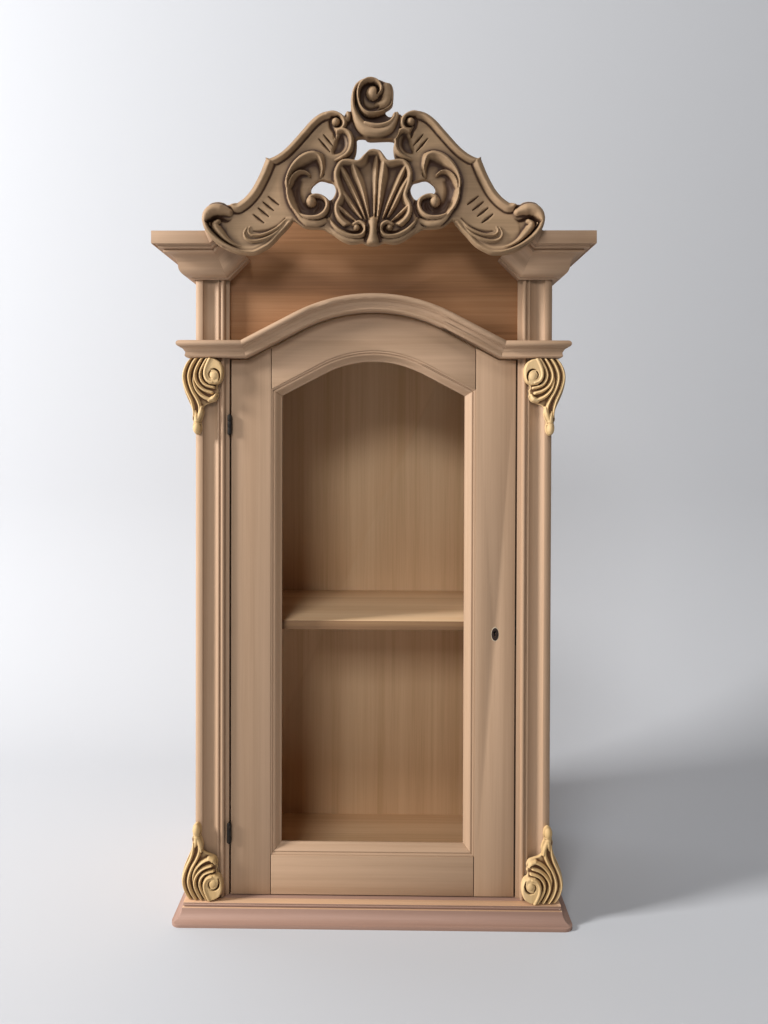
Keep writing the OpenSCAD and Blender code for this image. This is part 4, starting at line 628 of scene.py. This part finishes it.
def carve_base(r):
    """The small volutes at the sides of the knob under the shell."""
    r.field([(8, 10), (16, 12), (28, 6), (42, 1), (52, 10), (57, 14), (58, 4), (50, -7), (36, -16), (24, -18.5),
             (12, -17), (7, -8)], 9, 1)
    r.stroke([(12, -14), (24, -15), (36, -12), (47, -5), (56, 3)], [4, 5, 5, 5, 3], [11, 12, 12, 11, 9], 6, 2)
    r.stroke([(24, 5), (17.5, 7.5), (11.5, 4), (9.5, -2), (13, -8), (20, -10), (31, -8.5), (42, -3), (50, 5),
              (55, 13)], [3, 3.6, 3.6, 3.6, 3.8, 4, 4, 3.6, 2.8, 1.6],
             [15, 17, 17.5, 17.5, 17.5, 17, 17, 16.5, 15, 12], 7, 2)
    r.gouge([(16, 3), (15.5, -2), (20, -5.5), (29, -4.5), (38, 0)], [2, 2.8, 3, 2.6, 1], [7, 6, 6, 7, 9])
    r.knob(20.5, 1, 4.2, 4.2, 15.5, 8)


def carve_knob(r):
    """Fluted knob under the shell that flares toward its foot."""
    r.stroke([(0, 9), (0, 3), (0, -6), (0, -16)], [7, 6, 6.5, 9.5], [16.5, 18.5, 20, 19], 7, 2.4, steps=4)
    for s in (-1, 1):
        r.gouge([(s * 8.6, 6), (s * 8.2, -4), (s * 10.5, -14)], [1.2, 1.6, 1.2], [8, 7.5, 8])


def carve_curls(r):
    """Volute on the tip of the wing and the curl below it, beside the opening."""
    r.field([(37, 141), (33, 134), (34, 126), (31, 121), (24.5, 112), (24.5, 99), (27, 88), (33, 84), (44, 83),
             (50, 90), (52, 98), (46, 108), (46, 116), (52, 122), (56, 132), (54, 142), (46, 146)], 9, 4)
    r.field([(33, 112), (32, 104), (35, 97), (41, 92), (50, 91), (53, 97), (50, 106), (47, 114), (42, 118),
             (37, 117.5)], 4, 6)
    r.stroke([(45, 120), (37, 121.5), (30, 117), (27, 108), (28.5, 98), (33, 91.5), (40, 87.5), (47, 85)],
             [3.4, 4, 4.4, 4.4, 4.4, 4.4, 4, 2.5], [16, 17.5, 18, 18, 17.5, 17, 15.5, 12], 7, 2)
    r.stroke([(58, 142), (50, 143), (42, 140.5), (37, 135), (36, 128), (40, 123), (47, 122.5)],
             [4, 4.4, 4.2, 3.8, 3.6, 3.4, 3], [15, 16.5, 17.5, 17.5, 17, 16, 14], 8, 2)
    r.field([(40.5, 138), (39.5, 131), (41.5, 126.5), (47, 126), (53, 129), (55.5, 136), (51.5, 139.5),
             (45, 140)], 6.5, 2)
    r.knob(46.5, 132.5, 5.5, 5.2, 17, 7)
    r.gouge([(54, 133), (52.5, 126), (48, 119), (49, 112)], [3, 3.6, 3, 1.5], [6, 6, 6, 8])


def carve_crown(r):
    """Scroll that crowns the crest: an outer band that cups a rolled leaf."""
    r.field([(33, 143), (25.5, 143), (17, 142), (15, 147), (24, 154), (25.5, 172), (21, 181), (8, 185),
             (-3, 188), (-13, 186.5), (-21, 180.5), (-26.5, 171), (-28.5, 160), (-28, 150), (-27, 140),
             (-19, 124), (-11, 113), (2, 109), (25, 109), (32, 120)], 11, 1.0)
    r.field([(-17, 136), (-8, 130), (2, 128.5), (11, 129), (19.5, 132.5), (24.5, 139), (22, 146), (14, 148),
             (5, 143), (-5, 141), (-12, 143), (-16, 150), (-19, 165), (-22, 172), (-24, 160), (-22, 146)], 5, 1.6)
    # front band of the cup
    r.stroke([(30, 143), (28, 135), (21, 124), (8, 118.5), (-6, 120.5), (-16, 128.5), (-22.5, 141), (-25.5, 155),
              (-24, 170), (-18, 179), (-9, 184)], [3, 5, 8, 9.5, 9.5, 8, 5, 3.2, 3, 3.4, 3],
             [15, 17, 18, 18.5, 18.5, 18.5, 18.5, 18, 18, 17.5, 16], 8, 2.4)
    r.stroke([(26.5, 143), (25.8, 137), (20.5, 130), (10, 126), (0, 126), (-10, 129)], [2, 2.6, 3.4, 4, 4, 3],
             [16, 18.5, 20, 20.5, 20.5, 19.5], 13, 2)
    # rolled leaf
    r.field([(13, 147), (5, 143.5), (-5, 142.5), (-12, 146), (-17.5, 156), (-19, 168), (-15, 178), (-6, 184),
             (4, 184), (13, 180), (22, 178), (24, 165), (22, 154)], 8, 2)
    r.stroke([(13, 145.5), (5, 142.5), (-5, 141.5), (-12.5, 145.5), (-17.5, 155), (-19, 167), (-15.5, 177),
              (-7, 182.5), (3, 181.5), (9, 175.5), (9.5, 169), (5, 164)],
             [2.5, 3, 3.2, 3, 2.6, 2.6, 3, 3.6, 4, 3.4, 2.8, 2],
             [15, 18, 19.5, 20, 20, 20, 20.5, 21.5, 22, 21.5, 20, 17], 8, 2)
    r.stroke([(16, 176), (17, 166), (14, 157), (6, 153)], [8, 9, 8, 6], [13.5, 13.5, 12.5, 11], 7, 2)
    r.gouge([(6, 151), (-4, 148), (-12, 152), (-14.6, 162), (-12.5, 172), (-6, 178), (1, 178.5)],
            [3, 4, 4.2, 4, 3.8, 3.2, 2], [7, 5.5, 5.5, 6, 7, 8, 10])
    r.knob(-0.5, 167.5, 8.6, 9.0, 19, 8)
    r.gouge([(4, 174), (5.5, 169.5), (4.5, 165)], [1.2, 2.2, 1], [9, 8, 10])


def crest_relief(x, z):
    """Heights of the crest over its back at a net of points."""
    r = Relief(x, z, WING_GROUND)
    for carve, both in ((carve_wing, True), (carve_end, True), (carve_scroll, True), (carve_curls, True),
                        (carve_shell, False), (carve_base, True), (carve_knob, False), (carve_crown, False)):
        # what both sides share is cut on the right and on its mirror at once
        r.x = np.abs(x) if both else x
        carve(r)
    return r.h


# A corner carving, drawn in mm about the eye of its curl

LEAF_TOP = [(29, 24), (3, 24)]
LEAF_SIDE = [(-4, 22.5), (-10, 18.5), (-13.2, 12), (-14, 5), (-13, -2), (-10, -8), (-6, -11), (-5.5, -15),
             (-7, -18), (-6.2, -22), (-7, -26), (-4, -32), (2, -34.5), (9, -37), (13, -41), (12, -48), (14, -55),
             (16, -60), (14.8, -66), (16, -73), (20.5, -77), (25.5, -73), (27, -66), (26, -60), (27.5, -56),
             (27, -48), (29, -40), (33, -31), (37.5, -20), (40.5, -8), (41, 2), (39, 11), (34.5, 19)]
# Its ribs, from the outermost, which runs down into the neck: line, half width and height
LEAF_RIBS = [
    ([(27, 27), (34.5, 15), (38.2, 3), (37.5, -8), (33.5, -20), (28.5, -31), (25.5, -42), (25, -52)],
     [2.6, 3, 3.2, 3.2, 3, 2.8, 2.4, 2], [8, 8.5, 8.8, 8.8, 8.8, 9, 9, 8]),
    ([(19.5, 27), (27, 15), (31, 3), (30.5, -7), (26.5, -19), (20.5, -30), (17, -40), (18, -50), (20, -57)],
     [2.6, 3.2, 3.4, 3.3, 3.2, 3, 3, 2.8, 2.2], [9, 9.8, 10, 10, 10, 10, 9.5, 9, 8]),
    ([(24.5, 2), (25, -7), (21.5, -17), (14.5, -25), (6, -29.5), (-1, -30)], [1.5, 2.4, 3, 3.2, 3.2, 3],
     [8.5, 10, 10.5, 10.5, 10.5, 10]),
    ([(12, 27), (19, 15), (23, 4), (22.2, -5), (17.5, -13), (10, -18.5), (1, -21.5)], [2.6, 3.2, 3.4, 3.2, 3.2, 3, 3],
     [9.5, 10.3, 10.8, 10.8, 10.8, 10.5, 10]),
    ([(5, 27), (12, 15), (16, 5), (15.5, -3), (11.5, -9.5), (5, -13), (-1.5, -14.5)], [2.6, 3, 3.2, 3, 3, 3, 2.6],
     [10, 10.8, 11, 11, 11, 10.5, 10]),
]


def leaf_outline():
    """The whole edge of a corner carving: its straight top, then its side."""
    return np.concatenate([np.array(LEAF_TOP, float), flow(LEAF_SIDE, EDGE_STEPS)])


def carve_leaf(r):
    """Corner ornament: ribs that leave a bud, fan round the outer side and close in a curl."""
    for path, half, tops in LEAF_RIBS:
        r.stroke(path, half, tops, 3.4, 1.5)
    # broad turn of the curl, with a spiral cut into its eye
    r.field([(-4, 24), (-11, 19.5), (-14.5, 12), (-15, 5), (-14, -2), (-11, -8), (-4, -11.5), (4, -11), (10, -6),
             (12.6, 1), (12, 8), (8, 16), (1, 26)], 10.5, 3.2, smooth=False)
    r.stroke([(1, 27), (6, 17), (9, 9), (9.4, 1), (6, -5.5), (0, -8)], [4, 3.8, 3.6, 3.4, 3.2, 3], 12, 5, 2.4)
    r.gouge([(-8.5, -6), (-9.6, 0), (-8, 6), (-3.5, 9.3), (1.8, 8.8)], [1.0, 1.7, 2.0, 1.8, 1.0], [7.5, 6, 5.5, 6, 9])
    r.knob(-2.2, 0.3, 6.0, 6.4, 12, 8.5)
    r.gouge([(2.2, 7), (4.2, 3), (3.2, -1.5), (0, -3)], [1.2, 1.4, 1.2, 0.8], [7.5, 7.5, 8.5, 10.5])
    # small lobe where the third rib ends
    r.stroke([(-4, -24), (-1.5, -28.5), (4, -31)], [2.0, 4.4, 3.5], [9, 10.8, 10], 4, 2.2)
    # neck, collar and bud
    r.stroke([(14.5, -41), (16, -48), (19.5, -57)], [3, 4.4, 4], [9.5, 9.8, 8.5], 3.6, 2.2)
    r.stroke([(23, -46), (21.5, -52), (21, -59)], [2.0, 4.2, 5.0], [8, 9.2, 9], 3.6, 2.2)
    r.gouge([(23, -35), (22.4, -41), (21.4, -47)], [0.8, 1.6, 0.8], [5.5, 5, 7])
    r.knob(20.8, -58.5, 4.6, 2.8, 9.2, 4)
    r.knob(21, -62, 5.4, 1.8, 9.2, 4)
    r.knob(20.9, -68.2, 5.6, 8.2, 11, 4)


LEAF_GROUND = 4.2


def leaf_relief(x, z):
    """Heights of a corner carving over its back at a net of points."""
    r = Relief(x, z, LEAF_GROUND)
    carve_leaf(r)
    return r.h


def soften(values, reach):
    """Mean of a net of values over a square round each point."""
    # two passes, each along one way of the net, as a pass also turns the net over
    for _ in range(2):
        wide = np.pad(values, ((reach, reach), (0, 0)), mode="edge").cumsum(0)
        wide = np.vstack([np.zeros((1, wide.shape[1])), wide])
        values = ((wide[2 * reach + 1:] - wide[:-2 * reach - 1]) / (2 * reach + 1)).T
    return values


def snap(lines, x, z, loose):
    """Moves each loose point of a net onto the nearest of the lines."""
    for i in loose:
        found = []
        for line in lines:
            along = np.roll(line, -1, 0) - line
            t = np.clip(((x[i] - line[:, 0]) * along[:, 0] + (z[i] - line[:, 1]) * along[:, 1])
                        / np.maximum((along ** 2).sum(1), SHORT), 0, 1)
            spots = line + along * t[:, None]
            gaps = np.hypot(spots[:, 0] - x[i], spots[:, 1] - z[i])
            found.append((gaps.min(), spots[gaps.argmin()]))
        x[i], z[i] = min(found, key=lambda pair: pair[0])[1]


# Points of a net this near to each other become one, in mm
NET_JOINED = 0.02
# Two sizes of hollow: how far round a point it is compared with, and how deep it is when full, in mm
HOLLOWS = ((4.5, 4.0), (12.0, 7.0))


def hollows(h, used, order, shape, step):
    """How far each point lies below what is round it, 0 to 1: the net is read as a picture to find out."""
    flat, mask = h[order].reshape(shape), used[order].reshape(shape).astype(float)
    depth = np.zeros(shape)
    for reach, full in HOLLOWS:
        around = max(2, round(reach / step))
        mean = soften(flat * mask, around) / np.maximum(soften(mask, around), 0.05)
        depth += np.clip((mean - flat) / full, 0, 1)
    hollow = np.empty(h.size)
    hollow[order] = np.clip(depth, 0, 1).ravel()
    return hollow


def carved(name, lines, relief, box, step, easing):
    """A piece carved from the face: a net of points over the drawing is trimmed to its outline and openings,
    cut to the depth of each feature, then given its sides and its flat back.
    Easing is how far in from its edge the face is rounded, and how far down."""
    low, high = box
    wide, tall = [round((high[i] - low[i]) / step) for i in (0, 1)]
    bpy.ops.mesh.primitive_grid_add(x_subdivisions=wide, y_subdivisions=tall, size=1, location=(0, 0, 0))
    obj = bpy.context.active_object
    obj.name = name
    mesh = obj.data
    count = len(mesh.vertices)
    co = points_of(mesh)
    order = np.lexsort((np.round(co[:, 0], 6), np.round(co[:, 1], 6)))
    x = (co[:, 0] + 0.5) * (high[0] - low[0]) + low[0]
    z = (co[:, 1] + 0.5) * (high[1] - low[1]) + low[1]
    held = inside(lines[0], x, z)
    for hole in lines[1:]:
        held &= ~inside(hole, x, z)
    # a square of the net stays if the drawing holds one of its corners
    corners = np.empty(len(mesh.loops), int)
    mesh.loops.foreach_get("vertex_index", corners)
    corners = corners.reshape(-1, 4)
    kept = held[corners].any(1)
    used = np.zeros(count, bool)
    used[corners[kept]] = True
    loose = used & ~held
    far = np.min([near(line, x, z, True)[0] for line in lines], 0)
    far[loose] = 0
    snap(lines, x, z, np.nonzero(loose)[0])
    h = relief(x, z)
    # hollows, where dust and painted shade go, are found before the edge is eased, and the edge is kept clear of them
    reach, drop = easing
    hollow = hollows(h, used, order, (tall + 1, wide + 1), step) * np.clip(far / reach, 0, 1)
    h = h - drop * (1 - np.sqrt(1 - (1 - np.clip(far / reach, 0, 1)) ** 2))
    mesh.vertices.foreach_set("co", np.column_stack([x, -h, z]).ravel())
    mesh.attributes.new("hollow", "FLOAT", "POINT").data.foreach_set("value", hollow)
    only(obj)
    bpy.ops.object.mode_set(mode="EDIT")
    bpy.ops.mesh.select_mode(type="FACE")
    bpy.ops.mesh.select_all(action="DESELECT")
    bpy.ops.object.mode_set(mode="OBJECT")
    mesh.polygons.foreach_set("select", ~kept)
    bpy.ops.object.mode_set(mode="EDIT")
    bpy.ops.mesh.delete(type="FACE")
    bpy.ops.mesh.select_mode(type="VERT")
    bpy.ops.mesh.select_all(action="SELECT")
    bpy.ops.mesh.remove_doubles(threshold=NET_JOINED)
    # the border of the face is drawn back to a flat back, which has no hollows
    bpy.ops.mesh.select_all(action="DESELECT")
    bpy.ops.mesh.select_non_manifold(extend=False, use_wire=False, use_boundary=True, use_multi_face=False,
                                     use_non_contiguous=False, use_verts=False)
    bpy.ops.mesh.extrude_region_move(TRANSFORM_OT_translate={"value": (0, 1, 0)})
    bpy.ops.object.mode_set(mode="OBJECT")
    layer = mesh.attributes["hollow"]
    for vertex in mesh.vertices:
        if vertex.select:
            vertex.co.y = 0
            layer.data[vertex.index].value = 0
    bpy.ops.object.mode_set(mode="EDIT")
    bpy.ops.mesh.fill(use_beauty=False)
    bpy.ops.mesh.select_all(action="SELECT")
    bpy.ops.mesh.normals_make_consistent(inside=False)
    bpy.ops.object.mode_set(mode="OBJECT")
    bpy.ops.object.shade_smooth_by_angle(angle=math.radians(CARVED_SMOOTH))
    return obj


def seated(obj, node, origin, seed, right=1, up=1):
    """Stands a carved piece on its seat: origin in mm, right and up -1 where the piece is turned over."""
    co = (points_of(obj.data) * (right, 1, up) + origin) * MM
    obj.data.vertices.foreach_set("co", co.ravel())
    obj.location = (0, 0, 0)
    # a piece turned over has its faces the wrong way round
    only(obj)
    bpy.ops.object.mode_set(mode="EDIT")
    bpy.ops.mesh.select_all(action="SELECT")
    bpy.ops.mesh.normals_make_consistent(inside=False)
    bpy.ops.object.mode_set(mode="OBJECT")
    place(obj, node, seed)


# Where the zero of each drawing stands, in mm, and the size of its net, the box round it and the easing of its edge
CREST_SEAT = (0, -140.65, 899)
CREST_STEP, CREST_BOX, CREST_EASING = 0.9, ((-215, -33), (215, 188.5)), (2.2, 3.0)
CREST_LIMITS = (-214, -32.2), (214, 187.4)
LEAF_BACK, LEAF_EYE, UPPER_EYE, LOWER_EYE = -95.35, 210.8, 717.5, 50
LEAF_STEP, LEAF_BOX, LEAF_EASING = 0.45, ((-15, -78), (42, 24.5)), (1.6, 2.0)
# The corner carvings, all from one drawing: which side they are on, and whether they stand up or hang down
LEAVES = {"upper_left_carving": (-1, 1), "upper_right_carving": (1, 1),
          "lower_left_carving": (-1, -1), "lower_right_carving": (1, -1)}
CREST_SEED, LEAF_SEED = 90, 91

crest_lines = [np.clip(outline(), *CREST_LIMITS)]
crest_lines += [flow(hole, EDGE_STEPS, True) for hole in (TOP_HOLE, SIDE_HOLE, mirrored(SIDE_HOLE))]
crest = carved("crest_carved", crest_lines, crest_relief, CREST_BOX, CREST_STEP, CREST_EASING)
seated(crest, "crest", CREST_SEAT, CREST_SEED)

leaf = carved("corner_leaf", [leaf_outline()], leaf_relief, LEAF_BOX, LEAF_STEP, LEAF_EASING)
for count, (node, (side, up)) in enumerate(LEAVES.items()):
    copy = leaf.copy()
    copy.data = leaf.data.copy()
    copy.name = node + "_carved"
    scene.collection.objects.link(copy)
    seated(copy, node, (side * LEAF_EYE, LEAF_BACK, UPPER_EYE if up > 0 else LOWER_EYE), LEAF_SEED + count, side, up)
bpy.data.objects.remove(leaf)

for count, node in enumerate(frame["nodes"]):
    if node != "crest" and node not in LEAVES:
        dressed(node, count)


# Studio, in metres

FLOOR_SIZE, FLOOR_MIDDLE, WALL_HEIGHT, SWEEP = (9, 3.6, 1), (0, -0.9, 0), 4, 0.5


def clear_from_behind(tree, shader):
    """Makes a surface clear from its back, so that the cabinet shows from behind as well."""
    side = add(tree, "ShaderNodeNewGeometry").outputs["Backfacing"]
    clear = add(tree, "ShaderNodeBsdfTransparent").outputs["BSDF"]
    both = add(tree, "ShaderNodeMixShader", links={"Fac": side})
    tree.links.new(shader.outputs["BSDF"], both.inputs[1])
    tree.links.new(clear, both.inputs[2])
    tree.links.new(both.outputs["Shader"], tree.nodes["Material Output"].inputs["Surface"])


bpy.ops.mesh.primitive_plane_add(size=1, location=(0, 0, 0))
floor = bpy.context.active_object
floor.name = "floor"
bpy.ops.object.mode_set(mode="EDIT")
bpy.ops.transform.resize(value=FLOOR_SIZE)
bpy.ops.transform.translate(value=FLOOR_MIDDLE)
bpy.ops.mesh.select_all(action="DESELECT")
bpy.ops.object.mode_set(mode="OBJECT")
for edge in floor.data.edges:
    edge.select = all(floor.data.vertices[i].co.y > 0 for i in edge.vertices)
bpy.ops.object.mode_set(mode="EDIT")
bpy.ops.mesh.select_mode(type="EDGE")
bpy.ops.mesh.extrude_region_move(TRANSFORM_OT_translate={"value": (0, 0, WALL_HEIGHT)})
bpy.ops.object.mode_set(mode="OBJECT")
bevel = floor.modifiers.new("sweep", "BEVEL")
bevel.width = SWEEP
bevel.segments = 12
bevel.limit_method = "ANGLE"
bpy.ops.object.modifier_apply(modifier="sweep")
bpy.ops.object.shade_smooth()
paper, tree, shader = material("studio_paper")
shader.inputs["Base Color"].default_value = linear("#c0c1c4")
shader.inputs["Roughness"].default_value = 0.9
clear_from_behind(tree, shader)
floor.data.materials.append(paper)

world = bpy.data.worlds.new("studio_air")
scene.world = world
world.use_nodes = True
air = world.node_tree.nodes["Background"]
air.inputs["Color"].default_value = linear("#f4f6fb")
# faint as light, pale where it is seen
AIR_LIGHT, AIR_SEEN = 0.05, 0.8
tree = world.node_tree
seen = add(tree, "ShaderNodeLightPath")
pale = seen.outputs["Is Camera Ray"]
for ray in ("Is Glossy Ray", "Is Transmission Ray"):
    pale = add(tree, "ShaderNodeMath", {"operation": "MAXIMUM"}, {0: pale, 1: seen.outputs[ray]}).outputs["Value"]
level = add(tree, "ShaderNodeMapRange", {"To Min": AIR_LIGHT, "To Max": AIR_SEEN}, {"Value": pale})
tree.links.new(level.outputs["Result"], air.inputs["Strength"])

# Each lamp: its place, its width and height, its power in watts. All point at the middle of the cabinet.
LAMPS = {"window_left": ((-4.0, -1.3, 2.1), (0.8, 1.2), 290),
         "front_high": ((-1.1, -5.2, 3.0), (1.8, 1.3), 90),
         "top_light": ((-0.8, -2.8, 4.7), (1.2, 1.0), 60)}
AIM = Vector((0, 0, 0.5))

for name, (spot, size, power) in LAMPS.items():
    lamp = bpy.data.lights.new(name, "AREA")
    lamp.shape = "RECTANGLE"
    lamp.size, lamp.size_y = size
    lamp.energy = power
    stand = bpy.data.objects.new(name, lamp)
    scene.collection.objects.link(stand)
    stand.location = spot
    stand.rotation_euler = (AIM - Vector(spot)).to_track_quat("-Z", "Y").to_euler()

# The camera stands where the photo was taken from: its place, its turn, tilt and lean in degrees, its lens
# as the distance in pixels of a picture so many wide, and how far the picture is cut off centre
EYE = (0.0176, -1.18825, 0.6438)
TURN, TILT, LEAN = 0.83, 0.59, 0.17
LENS_PIXELS, PICTURE_WIDTH, SENSOR = 829.3, 768, 36
SHIFT = (0.0125, -0.0919)

view = bpy.data.cameras.new("camera")
camera = bpy.data.objects.new("camera", view)
scene.collection.objects.link(camera)
scene.camera = camera
view.sensor_fit = "HORIZONTAL"
view.sensor_width = SENSOR
view.lens = LENS_PIXELS * SENSOR / PICTURE_WIDTH
view.shift_x, view.shift_y = SHIFT
view.dof.use_dof = False
turned = (Matrix.Rotation(math.radians(TURN), 4, "Z") @ Matrix.Rotation(math.radians(90 - TILT), 4, "X")
          @ Matrix.Rotation(math.radians(LEAN), 4, "Z"))
camera.matrix_world = Matrix.Translation(EYE) @ turned

scene.view_settings.view_transform = "Standard"
